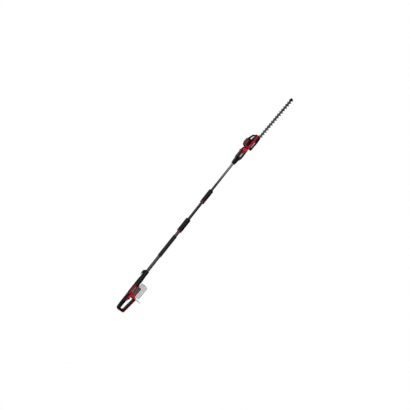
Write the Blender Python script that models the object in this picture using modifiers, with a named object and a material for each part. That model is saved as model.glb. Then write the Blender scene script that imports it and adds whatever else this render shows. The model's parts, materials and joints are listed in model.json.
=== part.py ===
"""Battery pole hedge trimmer: rear handle, telescopic pole and a tilting cutter head.

The pole runs along +X, from the butt of the handle to the tip of the blades, and +Z is up.
Stations along the pole count from the butt, and heights count from the pole's axis. The cutter
head has a frame of its own on the tilt pivot. Every number is in millimetres until it meets MM.
"""

import math

import bmesh
import bpy
from mathutils import Matrix, Vector

MM = 0.001
GAP = 0.3  # left between pieces that touch

# Pole
TUBE_WALL = 1.4
LOWER_TUBE = (300, 1000, 14.75)  # rear end, front end, outer radius
MID_TUBE = (700, 1330, 13.0)
UPPER_TUBE = (1010, 1785, 11.0)
FOAM_GRIP = (605, 837, 19.0)
LEAD_RADIUS = 6.0
LEAD_END = 1290  # still inside the upper tube when both slides are closed
CLAMP_1 = (887, 1033, 24.0)  # rear end, front end, outer radius
CLAMP_2 = (1217, 1363, 21.5)
COLLAR_1_LENGTH = 15
COLLAR_2_LENGTH = 23

# Place of the origin: the middle of the length, level with the foot of the stand
MIDDLE = 1231

# Rear handle
GRIP_HALF_WIDTH = 17
BODY_HALF_WIDTH = 22
HOLDER_REAR = 191
HOLDER_FRONT = 273
HOLDER_BOTTOM = -49
NECK_END = 387.7
LUG_END = 434
TRIGGER_PIVOT = (152, -10)  # station, height
BAIL_PIVOT = (166, -70)
BAIL_DROP = 58
BAIL_LEAN = 5
BAIL_WIRE = 2.5
RING_PIVOT = (396, 31)
RING_RADIUS = 11

# Battery pack
BATTERY_REAR = 192
BATTERY_FRONT = 313
BATTERY_HALF_WIDTH = 38
BATTERY_TOP = -50
BATTERY_BOTTOM = -94
BATTERY_SPLIT = -62
CELL_RADIUS = 9.0
CELL_LENGTH = 65
CELL_COUNT = 5

# Cutter head, from here on (forward of the pivot, above the pivot)
TILT_PIVOT = (1834, -5)  # station, height
HEAD_DROOP = math.radians(2)
EAR_RADIUS = 24
EAR_GAP = 9.8
NECK_HALF_WIDTH = 20
NECK_WAIST_HALF_WIDTH = 17
HEAD_HALF_WIDTH = 31
BAND_TOP = -4
BAND_BOTTOM = -26
COVER_BOTTOM = -43
MOTOR_AXIS = 59
MOTOR_RADIUS = 20
CRANK_AXIS = 91
GEAR_TEETH = 27
PINION_TEETH = 9
GEAR_MODULE = 2 * (CRANK_AXIS - MOTOR_AXIS) / (GEAR_TEETH + PINION_TEETH)
ECCENTRICITY = 7
ECCENTRIC_RADIUS = 9

# Cutter
BLADE_THICKNESS = 2.4
LOWER_BLADE_BOTTOM = -38.2
UPPER_BLADE_BOTTOM = LOWER_BLADE_BOTTOM + BLADE_THICKNESS + GAP
GUIDE_BOTTOM = UPPER_BLADE_BOTTOM + BLADE_THICKNESS + GAP
GUIDE_THICKNESS = 5
SPINE_HALF_WIDTH = 13
TOOTH_TIP = 40
TOOTH_TIP_HALF = 4.5
TOOTH_ROOT_HALF = 9.5
TOOTH_COUNT = 16
TOOTH_PITCH = 28.4
FIRST_TOOTH = 186
TIP_END = 630
BOLT_STATIONS = (214, 340, 466, 592)
BOLT_RADIUS = 3


# ---- scene -------------------------------------------------------------------------------------

for leftover in list(bpy.data.objects):
    bpy.data.objects.remove(leftover)

parts = bpy.data.collections.new("pole_hedge_trimmer")
cutters = bpy.data.collections.new("cutters")
bpy.context.scene.collection.children.link(parts)
bpy.context.scene.collection.children.link(cutters)


def material(name, colour, roughness, metallic=0.0):
    """A plain Principled material."""
    made = bpy.data.materials.new(name)
    made.use_nodes = True
    shader = made.node_tree.nodes["Principled BSDF"]
    shader.inputs["Base Color"].default_value = (*colour, 1)
    shader.inputs["Roughness"].default_value = roughness
    shader.inputs["Metallic"].default_value = metallic
    return made


BLACK = material("black_plastic", (0.012, 0.012, 0.013), 0.55)
RED = material("red_plastic", (0.55, 0.01, 0.03), 0.4)
LABEL = material("label_film", (0.09, 0.06, 0.065), 0.35)
HOLDER = material("grey_plastic", (0.13, 0.11, 0.10), 0.6)
PACK = material("battery_plastic", (0.62, 0.62, 0.63), 0.5)
FOAM = material("foam", (0.018, 0.018, 0.019), 0.95)
LOWER_METAL = material("dark_aluminium", (0.07, 0.07, 0.075), 0.45, 0.5)
UPPER_METAL = material("grey_aluminium", (0.22, 0.22, 0.225), 0.4, 0.7)
STEEL = material("blade_steel", (0.33, 0.33, 0.34), 0.35, 1.0)
ZINC = material("zinc_steel", (0.55, 0.55, 0.56), 0.4, 1.0)
BRASS = material("contact_brass", (0.6, 0.45, 0.2), 0.35, 1.0)
RUBBER = material("black_rubber", (0.01, 0.01, 0.01), 0.8)


def empty(name, parent=None, at=(0, 0, 0), droop=0.0):
    """A frame or a joint's axis."""
    made = bpy.data.objects.new(name, None)
    made.location = Vector(at) * MM
    made.rotation_euler.y = droop
    made.parent = parent
    parts.objects.link(made)
    return made


stand_height = BAIL_DROP + BAIL_WIRE - BAIL_PIVOT[1]
frame = empty("frame", None, (-MIDDLE, 0, stand_height))
trigger_axis = empty("trigger_axis", frame, (TRIGGER_PIVOT[0], 0, TRIGGER_PIVOT[1]))
bail_axis = empty("bail_axis", frame, (BAIL_PIVOT[0], 0, BAIL_PIVOT[1]))
ring_axis = empty("ring_axis", frame, (RING_PIVOT[0], 0, RING_PIVOT[1]))
head = empty("head_axis", frame, (TILT_PIVOT[0], 0, TILT_PIVOT[1]), HEAD_DROOP)
rotor_axis = empty("rotor_axis", head, (MOTOR_AXIS, 0, 0))
crank_axis = empty("crank_axis", head, (CRANK_AXIS, 0, 0))


# ---- modelling helpers -------------------------------------------------------------------------

def settle(piece, name, finish, parent):
    """Name a piece, give it its material or make it a cutter, and hang it on its frame."""
    piece.name = name
    piece.parent = parent
    if finish is None:
        piece.hide_render = True
        piece.display_type = "WIRE"
        cutters.objects.link(piece)
    else:
        piece.data.materials.append(finish)
        parts.objects.link(piece)
    return piece


def bevel(piece, width, segments=2, angle=50):
    """Round the edges that are sharper than the angle."""
    if width:
        made = piece.modifiers.new("rounded", "BEVEL")
        made.width = width * MM
        made.segments = segments
        made.limit_method = "ANGLE"
        made.angle_limit = math.radians(angle)
    return piece


def combine(piece, operation, *tools):
    """Cut a piece with others, or join them to it."""
    for tool in tools:
        made = piece.modifiers.new(operation.lower(), "BOOLEAN")
        made.operation = operation
        made.solver = "EXACT"
        made.object = tool
    return piece


def smooth(piece):
    piece.data.shade_smooth()
    piece.data.set_sharp_from_angle(angle=math.radians(35))
    return piece


def box(name, finish, parent, low, high, edge=0.0):
    """A block between two corners."""
    low, high = Vector(low), Vector(high)
    bm = bmesh.new()
    bmesh.ops.create_cube(bm, size=1)
    size = Matrix.Diagonal((*((high - low) * MM), 1))
    bmesh.ops.transform(bm, matrix=size, verts=bm.verts)
    mesh = bpy.data.meshes.new(name)
    bm.to_mesh(mesh)
    piece = settle(bpy.data.objects.new(name, mesh), name, finish, parent)
    piece.location = (low + high) / 2 * MM
    return bevel(piece, edge)


def rod(name, finish, parent, axis, centre, radius, length, sides=24, edge=0.0):
    """A cylinder along X, Y or Z."""
    bm = bmesh.new()
    bmesh.ops.create_cone(
        bm, cap_ends=True, segments=sides, radius1=radius * MM, radius2=radius * MM, depth=length * MM
    )
    mesh = bpy.data.meshes.new(name)
    bm.to_mesh(mesh)
    piece = settle(bpy.data.objects.new(name, mesh), name, finish, parent)
    piece.location = Vector(centre) * MM
    turn_to(piece, axis)
    return bevel(smooth(piece), edge)


def turn_to(piece, axis):
    """Turn a piece's own Z axis to X or Y."""
    if axis == "X":
        piece.rotation_euler.y = math.radians(90)
    if axis == "Y":
        piece.rotation_euler.x = math.radians(-90)


def turned(name, finish, parent, axis, centre, profile, steps=24):
    """A turned shape. The profile's (along, radius) points start at the far end, come down the
    outer side and, on a hollow piece, go back up the bore."""
    mesh = bpy.data.meshes.new(name)
    points = [(radius * MM, 0, along * MM) for along, radius in profile]
    last = len(points) - 1
    edges = [(i, i + 1) for i in range(last)]
    if profile[0][1] > 0:
        edges.append((last, 0))
    mesh.from_pydata(points, edges, [])
    piece = settle(bpy.data.objects.new(name, mesh), name, finish, parent)
    piece.location = Vector(centre) * MM
    turn_to(piece, axis)
    made = piece.modifiers.new("turned", "SCREW")
    made.steps = steps
    made.render_steps = steps
    made.use_merge_vertices = True
    made.merge_threshold = 0.00001
    made.use_smooth_shade = True
    return piece


def tube(name, finish, parent, rear, front, outer, inner, edge=0.0):
    """A hollow tube along X, with its outer edges eased or left square."""
    profile = [(front, inner), (front, outer - edge), (front - edge, outer), (rear + edge, outer)]
    profile += [(rear, outer - edge), (rear, inner)]
    if edge == 0:
        profile = [(front, inner), (front, outer), (rear, outer), (rear, inner)]
    return turned(name, finish, parent, "X", (0, 0, 0), profile)


def fillet(corners, step=30):
    """Outline points, with each corner (a, b, radius) rounded by an arc."""
    points = []
    for i, (a, b, radius) in enumerate(corners):
        here = Vector((a, b))
        if radius == 0:
            points.append(here)
            continue
        back = (Vector(corners[i - 1][:2]) - here).normalized()
        ahead = (Vector(corners[(i + 1) % len(corners)][:2]) - here).normalized()
        half = back.angle(ahead) / 2
        centre = here + (back + ahead).normalized() * radius / math.sin(half)
        start = here + back * radius / math.tan(half) - centre
        end = here + ahead * radius / math.tan(half) - centre
        turn = math.atan2(start.x * end.y - start.y * end.x, start.dot(end))
        count = max(2, round(abs(math.degrees(turn)) / step))
        for k in range(count + 1):
            points.append(centre + Matrix.Rotation(turn * k / count, 2) @ start)
    return points


def circle(a, b, radius, sides=20):
    """Outline points of a circle."""
    turns = [2 * math.pi * k / sides for k in range(sides)]
    return [Vector((a + radius * math.cos(t), b + radius * math.sin(t))) for t in turns]


def plate(name, finish, parent, plane, low, high, outline, holes=(), edge=0.0, segments=2):
    """A flat outline made thick, from low to high along the axis that its plane leaves."""
    curve = bpy.data.curves.new(name, "CURVE")
    curve.dimensions = "2D"
    curve.fill_mode = "BOTH"
    curve.extrude = (high - low) / 2 * MM
    for ring in (outline, *holes):
        spline = curve.splines.new("POLY")
        spline.points.add(len(ring) - 1)
        for point, place in zip(spline.points, ring):
            point.co = (place.x * MM, place.y * MM, 0, 1)
        spline.use_cyclic_u = True
    middle = (low + high) / 2 * MM
    made = bpy.data.objects.new(name, curve)
    if plane == "XZ":
        made.rotation_euler.x = math.radians(90)
        made.location.y = middle
    elif plane == "YZ":
        made.rotation_euler = (math.radians(90), 0, math.radians(90))
        made.location.x = middle
    else:
        made.location.z = middle
    piece = solid_from(made, name, finish, parent)
    return bevel(piece, edge, segments)


def wire(name, finish, parent, points, radius, resolution=2, cyclic=False):
    """A round wire or cable along a list of points."""
    curve = bpy.data.curves.new(name, "CURVE")
    curve.dimensions = "3D"
    curve.bevel_depth = radius * MM
    curve.bevel_resolution = resolution
    curve.use_fill_caps = not cyclic
    spline = curve.splines.new("POLY")
    spline.points.add(len(points) - 1)
    for point, place in zip(spline.points, points):
        point.co = (*(Vector(place) * MM), 1)
    spline.use_cyclic_u = cyclic
    return smooth(solid_from(bpy.data.objects.new(name, curve), name, finish, parent))


def solid_from(curve_piece, name, finish, parent):
    """The closed mesh of a curve object, in its place."""
    cutters.objects.link(curve_piece)
    bpy.context.view_layer.update()
    evaluated = curve_piece.evaluated_get(bpy.context.evaluated_depsgraph_get())
    mesh = bpy.data.meshes.new_from_object(evaluated)
    bm = bmesh.new()
    bm.from_mesh(mesh)
    bmesh.ops.remove_doubles(bm, verts=bm.verts, dist=1e-6)
    bmesh.ops.dissolve_limit(bm, angle_limit=math.radians(0.5), verts=bm.verts, edges=bm.edges)
    bmesh.ops.recalc_face_normals(bm, faces=bm.faces)
    bm.to_mesh(mesh)
    piece = bpy.data.objects.new(name, mesh)
    piece.matrix_world = curve_piece.matrix_world
    bpy.data.objects.remove(curve_piece)
    return settle(piece, name, finish, parent)


def half_space(name, parent, side, reach):
    """The cutter that leaves one half of a split case: side is -1 for left, +1 for right."""
    far = -side * 80
    near = side * GAP / 2
    low, high = sorted((far, near))
    return box(name, None, parent, (reach[0], low, -200), (reach[1], high, 200))


SIDES = (("left", 1), ("right", -1))


# ---- rear handle -------------------------------------------------------------------------------

HANDLE_OUTLINE = fillet([
    (4.5, -60, 16), (4.5, 14, 15), (60, 17, 40), (185, 17, 0), (190, -18, 0),
    (190, -47, 6), (170, -80, 5), (158, -79, 20),
])
HAND_OPENING = fillet([(22, -11, 12), (150, -15, 9), (158, -62, 12), (24, -45, 12)])
BODY_OUTLINE = fillet([(176, 17, 6), (279, 17, 5), (279, -18, 4), (180, -18, 4)])
NECK_PROFILE = [
    (NECK_END, 0), (NECK_END, 19), (NECK_END - 1.5, 20.5), (358, 22), (330, 24), (290, 24), (276, 24),
    (274, 16.5), (262, 16), (262, 0),
]
TRIM_OUTLINE = fillet([
    (104, -2, 2), (150, -3, 0), (173, -3, 3), (175, -19, 2), (187, -19, 2), (187, -47, 5), (169, -77, 3),
    (161, -76, 3), (162, -30, 8), (148, -12.5, 6), (104, -9, 2),
])


def handle_half(side_name, side):
    """One half of the clamshell: the D grip, the wider body over the battery, and the neck."""
    name = "handle_shell_" + side_name
    width = GRIP_HALF_WIDTH
    half = plate(
        name, BLACK, frame, "XZ", -width, width, HANDLE_OUTLINE, [HAND_OPENING], edge=5
    )
    width = BODY_HALF_WIDTH
    body = plate(name + "_body", None, frame, "XZ", -width, width, BODY_OUTLINE, edge=4)
    neck = turned(name + "_neck", None, frame, "X", (0, 0, 0), NECK_PROFILE, steps=28)
    combine(half, "UNION", body, neck)
    hollow = box(name + "_hollow", None, frame, (183, -19, -15), (272, 19, 14))
    grip_hollow = box(name + "_grip", None, frame, (30, -13, -8), (168, 13, 13))
    passage = box(name + "_passage", None, frame, (160, -3, -8), (190, 3, -2))
    bore = rod(name + "_bore", None, frame, "X", (360, 0, 0), LOWER_TUBE[2] + GAP, 200, 32)
    slot = box(name + "_trigger_slot", None, frame, (100, -7.5, -22), (160, 7.5, -7))
    button_slot = box(name + "_button_slot", None, frame, (126, -5.5, 12), (150, 5.5, 20))
    trigger_pin = rod(
        name + "_pin_hole", None, frame, "Y", (TRIGGER_PIVOT[0], 0, TRIGGER_PIVOT[1]), 2.3, 26, 16
    )
    bail_hole = rod(
        name + "_bail_hole", None, frame, "Y", (BAIL_PIVOT[0], 0, BAIL_PIVOT[1]), BAIL_WIRE + 0.4, 60, 16
    )
    holes = [hollow, grip_hollow, passage, bore, slot, button_slot, trigger_pin, bail_hole]
    for index, (station, height) in enumerate(HANDLE_SCREWS):
        holes.append(screw_hole(f"{name}_hole_{index}", frame, station, height))
    holes.append(half_space(name + "_split", frame, side, (-20, 460)))
    return combine(half, "DIFFERENCE", *holes)


HANDLE_SCREWS = ((14, -20), (178, -44), (175.5, 6))
SCREW_RADIUS = 1.8


def screw_hole(name, parent, station, height):
    """Room for a case screw: its shank, and the counterbore that its head sits in."""
    profile = [
        (60, 0), (60, SCREW_RADIUS + GAP), (-8, SCREW_RADIUS + GAP), (-8, 3.8), (-60, 3.8), (-60, 0),
    ]
    return turned(name, None, parent, "Y", (station, 0, height), profile, steps=12)


def case_screw(name, parent, station, height):
    """A pan-head screw, driven from the right side into the left half."""
    profile = [
        (10, 0), (10, SCREW_RADIUS), (-8 - GAP, SCREW_RADIUS), (-8 - GAP, 3.2), (-10, 3.2), (-11, 2),
        (-11, 0),
    ]
    return turned(name, ZINC, parent, "Y", (station, 0, height), profile, steps=12)


def butt_bumper():
    """The red moulding round the butt and along the underside of the D grip."""
    outer = fillet([
        (0, -65.2, 19), (0, 6, 0), (4.2, 6, 0), (4.2, -60.35, 16), (160, -79.6, 0), (160, -84.6, 1.5),
    ])
    width = GRIP_HALF_WIDTH
    return plate("butt_bumper", RED, frame, "XZ", -width, width, outer, edge=1.2, segments=1)


def handle_trims():
    """Red plates on both cheeks: a strip over the opening and a leg down in front of it."""
    name = "handle_trim_"
    hole = circle(*BAIL_PIVOT, BAIL_WIRE + 0.4, 16)
    for side_name, side in SIDES:
        low, high = sorted((side * (GRIP_HALF_WIDTH + GAP), side * (GRIP_HALF_WIDTH + 2.3)))
        plate(name + side_name, RED, frame, "XZ", low, high, TRIM_OUTLINE, [hole], edge=0.7, segments=1)


def label_plates():
    """Dark plates let on to the cheeks of the body."""
    outline = fillet([(192, 11, 3), (262, 11, 3), (262, -12, 3), (192, -12, 3)])
    for side_name, side in SIDES:
        low, high = sorted((side * (BODY_HALF_WIDTH + GAP), side * (BODY_HALF_WIDTH + 1.6)))
        plate("label_plate_" + side_name, LABEL, frame, "XZ", low, high, outline, edge=0.5, segments=1)


def trigger():
    """The trigger and its pin. The trigger's numbers count from its pivot."""
    outline = fillet([
        (-46, 1, 2), (-6, 1, 0), (-4, 4.5, 3), (4, 4.5, 3), (5.2, -4, 3), (-4, -14, 6), (-14, -27, 8),
        (-30, -15, 12), (-46, -10, 3),
    ])
    bore = circle(0, 0, 2.0 + GAP, 16)
    plate("trigger", BLACK, trigger_axis, "XZ", -6.5, 6.5, outline, [bore], edge=1.2)
    station, height = TRIGGER_PIVOT
    rod("trigger_pin", ZINC, frame, "Y", (station, 0, height), 2.0, 24, 16)


def switch():
    """The switch module over the trigger, and the lock-off slider on top of the grip."""
    box("switch_block", BLACK, frame, (104, -9, -1), (132, 9, 8.7), edge=1)
    shaft = box("lock_off_stem", None, frame, (130, -4.5, 10), (142, 4.5, 18))
    outline = fillet([(128, 17.6, 0.8), (147, 17.6, 0.8), (145, 21, 2), (133, 19.8, 3)])
    button = plate("lock_off_button", BLACK, frame, "XZ", -4.5, 4.5, outline, edge=0.6)
    combine(button, "UNION", shaft)


def battery_holder():
    """The channel under the body that the pack's head slides into, and its terminals."""
    front, rear = HOLDER_FRONT, HOLDER_REAR
    top = -18.3
    channel = fillet([
        (-31, top, 4), (-31, HOLDER_BOTTOM, 2), (-19.5, HOLDER_BOTTOM, 1), (-19.5, -44, 1), (-25.5, -44, 1),
        (-25.5, -24, 1), (25.5, -24, 1), (25.5, -44, 1), (19.5, -44, 1), (19.5, HOLDER_BOTTOM, 1),
        (31, HOLDER_BOTTOM, 2), (31, top, 4),
    ])
    holder = plate("battery_holder", HOLDER, frame, "YZ", rear, front, channel)
    back = box("battery_holder_back", None, frame, (rear, -26, -46), (rear + 3, 26, -22))
    combine(holder, "UNION", back)
    block = box(
        "terminal_block", BRASS, frame, (rear + 3 + GAP, -17, -40), (rear + 12, 17, -27), edge=0.8
    )
    for index, across in enumerate((-11, 0, 11)):
        low, high = (rear + 10, across - 0.6, -38), (rear + 24, across + 0.6, -29)
        blade = box(f"terminal_blade_{index}", None, frame, low, high)
        combine(block, "UNION", blade)


def battery():
    """The slide-on pack: two case halves, five cells on their nickel straps, and the latch."""
    wide = BATTERY_HALF_WIDTH
    side_view = fillet([
        (BATTERY_REAR, BATTERY_TOP, 3), (BATTERY_REAR, BATTERY_SPLIT + GAP, 0),
        (BATTERY_FRONT, BATTERY_SPLIT + GAP, 0), (BATTERY_FRONT, BATTERY_TOP, 5),
    ])
    top = plate("battery_top_case", PACK, frame, "XZ", -wide, wide, side_view, edge=1.5)
    rails = box("battery_rails", None, frame, (206, -24.8, -43.4), (286, 24.8, -25), 1)
    stem = box("battery_stem", None, frame, (207, -18.8, -53), (285, 18.8, -40))
    combine(top, "UNION", rails, stem)
    pocket = box("battery_pocket", None, frame, (200, -16, -41), (218, 16, -28))
    inside = box("battery_inside", None, frame, (196, -34, -70), (298, 34, -54))
    latch_room = box("battery_latch_room", None, frame, (301, -13, -70), (330, 13, -52))
    combine(top, "DIFFERENCE", pocket, inside, latch_room)
    lower_view = fillet([
        (188, BATTERY_SPLIT, 0), (180, -84, 6), (188, BATTERY_BOTTOM, 7),
        (BATTERY_FRONT, BATTERY_BOTTOM, 6), (BATTERY_FRONT, BATTERY_SPLIT, 0),
    ])
    low = plate("battery_lower_case", PACK, frame, "XZ", -wide, wide, lower_view, edge=3)
    bucket = plate("battery_bucket", None, frame, "XZ", 3 - wide, wide - 3, fillet([
        (BATTERY_REAR + 3, -50, 0), (BATTERY_REAR + 3, -77, 0), (209, BATTERY_BOTTOM + 3, 0),
        (BATTERY_FRONT - 3, BATTERY_BOTTOM + 3, 0), (BATTERY_FRONT - 3, -50, 0),
    ]))
    slot = box("battery_button_slot", None, frame, (301, -13, -79), (330, 13, -50))
    combine(low, "DIFFERENCE", bucket, slot)
    pitch = 2 * CELL_RADIUS + 0.6
    first = 252.5 - pitch * (CELL_COUNT - 1) / 2
    height = -78
    cells = rod("battery_cells", ZINC, frame, "Y", (first, 0, height), CELL_RADIUS, CELL_LENGTH, 16)
    joins = []
    for index in range(1, CELL_COUNT):
        station = first + index * pitch
        joins.append(
            rod(f"cell_{index}", None, frame, "Y", (station, 0, height), CELL_RADIUS, CELL_LENGTH, 16)
        )
    reach = CELL_LENGTH / 2
    for index, end in enumerate((-reach, reach)):
        low_corner = (first - 4, end - 0.5, height - 4)
        high_corner = (first + pitch * (CELL_COUNT - 1) + 4, end + 0.5, height + 4)
        joins.append(box(f"cell_strap_{index}", None, frame, low_corner, high_corner))
    combine(cells, "UNION", *joins)
    outline = fillet([
        (302, -52.5, 1), (302, -74, 1), (311, -74, 2), (314.5, -66, 3), (314.5, -60, 2), (309, -52.5, 3),
    ])
    plate("battery_latch", HOLDER, frame, "XZ", -12.5, 12.5, outline, edge=0.8, segments=1)


def rest_bail():
    """A wire stand hinged through the foot of the D grip, in front of the hand."""
    lean = -BAIL_LEAN
    leg = [(0, 9, 0), (0, 21, 0), (0, 24, -1.5), (0, 26, -5), (lean, 34, 6 - BAIL_DROP),
           (lean, 34, 3 - BAIL_DROP), (lean, 32, 0.8 - BAIL_DROP), (lean, 29, -BAIL_DROP)]
    points = leg + [(x, -y, z) for x, y, z in reversed(leg)]
    # The U is open at the top: its two ends sit in the foot, one from each side.
    wire("rest_bail", ZINC, bail_axis, points, BAIL_WIRE, resolution=2)


def strap_lug():
    """The collar and eye that a shoulder strap hooks to, with its steel ring."""
    rear = NECK_END + GAP
    collar = tube("strap_lug", BLACK, frame, rear, LUG_END, 20.5, LOWER_TUBE[2] + GAP, edge=1.5)
    outline = fillet([(rear + 1, 18, 0), (rear + 1, 38, 4), (420, 38, 9), (LUG_END, 18, 0)])
    ear = plate("strap_lug_ear", None, frame, "XZ", -4, 4, outline, [circle(*RING_PIVOT, 3.6)], edge=1)
    combine(collar, "UNION", ear)
    count = 20
    turns = [2 * math.pi * k / count for k in range(count)]
    points = [
        (RING_RADIUS * (math.cos(t) - 1), RING_RADIUS * math.sin(t), 0) for t in turns
    ]
    wire("strap_ring", ZINC, ring_axis, points, 2.2, resolution=2, cyclic=True)


handle_trims()
label_plates()
for side_name, side in SIDES:
    handle_half(side_name, side)
for index, (station, height) in enumerate(HANDLE_SCREWS):
    case_screw(f"handle_screw_{index + 1}", frame, station, height)
butt_bumper()
trigger()
switch()
battery_holder()
battery()
rest_bail()
strap_lug()


# ---- pole --------------------------------------------------------------------------------------

def clamp(number, station, tube_end, tube_radius, inner_radius, collar_length):
    """A twist clamp: a red collar, the collet on the tube's end and the sleeve that closes it."""
    rear, front, outer = station
    split = rear + collar_length
    tube(f"clamp_{number}_collar", RED, frame, rear, split, outer - 0.5, tube_radius + GAP, edge=1.5)
    rear += collar_length + GAP
    bore = tube_radius + GAP
    cage = bore + 3.2
    profile = [
        (front, inner_radius + 0.6), (front, outer - 4), (front - 8, outer - 1), (front - 14, outer),
        (rear + 2, outer), (rear, outer - 2), (rear, bore), (tube_end - 6, bore), (tube_end - 4, cage),
        (front - 9, cage), (front - 5, inner_radius + 0.6),
    ]
    turned(f"clamp_{number}_sleeve", BLACK, frame, "X", (0, 0, 0), profile)
    collet_end = front - 10
    collet = [
        (collet_end, inner_radius + 0.25), (collet_end, inner_radius + 2.2), (tube_end + 6, cage - 0.4),
        (tube_end + GAP, cage - 0.4), (tube_end + GAP, inner_radius + 0.25),
    ]
    turned(f"clamp_{number}_collet", HOLDER, frame, "X", (0, 0, 0), collet)


def pole():
    tube("lower_tube", LOWER_METAL, frame, *LOWER_TUBE, LOWER_TUBE[2] - TUBE_WALL)
    tube("mid_tube", LOWER_METAL, frame, *MID_TUBE, MID_TUBE[2] - TUBE_WALL)
    tube("upper_tube", UPPER_METAL, frame, *UPPER_TUBE, UPPER_TUBE[2] - TUBE_WALL)
    rear, front, outer = FOAM_GRIP
    tube("foam_grip", FOAM, frame, rear, front, outer, LOWER_TUBE[2] + GAP, edge=3)
    clamp(1, CLAMP_1, LOWER_TUBE[1], LOWER_TUBE[2], MID_TUBE[2], COLLAR_1_LENGTH)
    clamp(2, CLAMP_2, MID_TUBE[1], MID_TUBE[2], UPPER_TUBE[2], COLLAR_2_LENGTH)
    lead_start = LOWER_TUBE[0] + 10
    lead_middle = (lead_start + LEAD_END) / 2
    rod("supply_lead", RUBBER, frame, "X", (lead_middle, 0, 0), LEAD_RADIUS, LEAD_END - lead_start, 12)


pole()


# ---- tilt joint --------------------------------------------------------------------------------

NECK_OUTLINE = fillet([
    (1722, 19, 6), (1742, 23, 20), (1822, 23, 5), (1830, 19, 3), (1858, 19, 22), (1858, -29, 22),
    (1808, -29, 6), (1796, -31, 6), (1745, -31, 20), (1722, -21, 6),
])
WAIST_OUTLINE = fillet([
    (1683, 17, 5), (1722, 18, 20), (1740, 21, 0), (1740, -25, 0), (1720, -19, 20), (1683, -17, 5),
])
FORK_OUTLINE = fillet([
    (1807, -60, 0), (1807, 17, 0), (1826, 17, 0), (1826, 60, 0), (1880, 60, 0), (1880, -60, 0),
])
NECK_SCREWS = ((1734, -17), (1794, -21.5))


def neck_half(side_name, side):
    """One half of the fixed neck, with the ear that holds the tilt pivot."""
    name = "neck_shell_" + side_name
    width = NECK_HALF_WIDTH
    half = plate(name, BLACK, frame, "XZ", -width, width, NECK_OUTLINE, edge=3)
    waist = NECK_WAIST_HALF_WIDTH
    combine(half, "UNION", plate(name + "_waist", None, frame, "XZ", -waist, waist, WAIST_OUTLINE, edge=3))
    station, height = TILT_PIVOT
    fork = plate(name + "_fork", None, frame, "XZ", -EAR_GAP, EAR_GAP, FORK_OUTLINE)
    bore = rod(name + "_bore", None, frame, "X", (1735, 0, 0), UPPER_TUBE[2] + GAP, 110, 24)
    hollow = box(name + "_hollow", None, frame, (1746, -16, -27), (1784, 16, 19))
    bolt = rod(name + "_bolt", None, frame, "Y", (station, 0, height), 5.3, 60, 20)
    button = box(name + "_button", None, frame, (1804.5, -4.5, 11), (1813.5, 4.5, 30))
    holes = [fork, bore, hollow, bolt, button]
    for index, place in enumerate(NECK_SCREWS):
        holes.append(screw_hole(f"{name}_hole_{index}", frame, *place))
    holes.append(half_space(name + "_split", frame, side, (1600, 1900)))
    return combine(half, "DIFFERENCE", *holes)


def tilt_joint():
    """The neck, its end collar, the pivot bolt with red caps and the release button on top."""
    for side_name, side in SIDES:
        neck_half(side_name, side)
    tube("neck_collar", BLACK, frame, 1669, 1682.7, 19.5, UPPER_TUBE[2] + GAP, edge=1.5)
    for index, place in enumerate(NECK_SCREWS):
        case_screw(f"neck_screw_{index + 1}", frame, *place)
    station, height = TILT_PIVOT
    rod("pivot_bolt", ZINC, frame, "Y", (station, 0, height), 5, 2 * NECK_HALF_WIDTH + 14, 20, edge=0.8)
    for side_name, side in SIDES:
        inner = NECK_HALF_WIDTH + GAP
        profile = [(inner + 5, 5.3), (inner + 5, 19), (inner + 3.5, 22.5), (inner, 22.5), (inner, 5.3)]
        if side < 0:
            profile = [(-along, radius) for along, radius in reversed(profile)]
        turned("pivot_cap_" + side_name, RED, frame, "Y", (station, 0, height), profile, steps=28)
    button = turned(
        "tilt_button", RED, frame, "Z", (1809, 0, 0),
        [(35.5, 0), (35.5, 4.5), (34, 7.2), (27.5, 7.8), (27.5, 0)], steps=20,
    )
    stem = rod("tilt_button_stem", None, frame, "Z", (1809, 0, 22.5), 3.8, 13, 16)
    combine(button, "UNION", stem)


tilt_joint()


# ---- cutter head -------------------------------------------------------------------------------
# From here on the numbers count from the tilt pivot, along and across the head.

PLAN_OUTLINE = fillet([
    (22, -HEAD_HALF_WIDTH, 3), (118, -HEAD_HALF_WIDTH, 30), (175, -19, 6),
    (175, 19, 6), (118, HEAD_HALF_WIDTH, 30), (22, HEAD_HALF_WIDTH, 3),
])
POD_OUTLINE = fillet([
    (21, BAND_TOP + GAP, 0), (21, 26, 3), (30, 40, 6), (47, 50, 10), (90, 50, 12), (104, 38, 4),
    (104, BAND_TOP + GAP, 0),
])
LOOP_OUTLINE = fillet([
    (80, BAND_TOP + GAP, 0), (80, 49, 0), (96, 49, 14), (152, 30, 18), (169, BAND_TOP + 6, 5),
    (169, BAND_TOP + GAP, 0),
])
LOOP_OPENING = fillet([(107, 13, 4), (152, 2, 5), (155, 10, 4), (146, 21, 7), (107, 33, 6)])
POD_HALF_WIDTH = 26
LOOP_HALF_WIDTH = 10
HEAD_SCREWS = ((34, 30), (98, 30))


def pivot_clearance(name):
    """The cutter that lets the neck's ears turn inside the head."""
    return rod(name, None, head, "Y", (0, 0, 0), EAR_RADIUS + 1.5, 90, 40)


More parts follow.
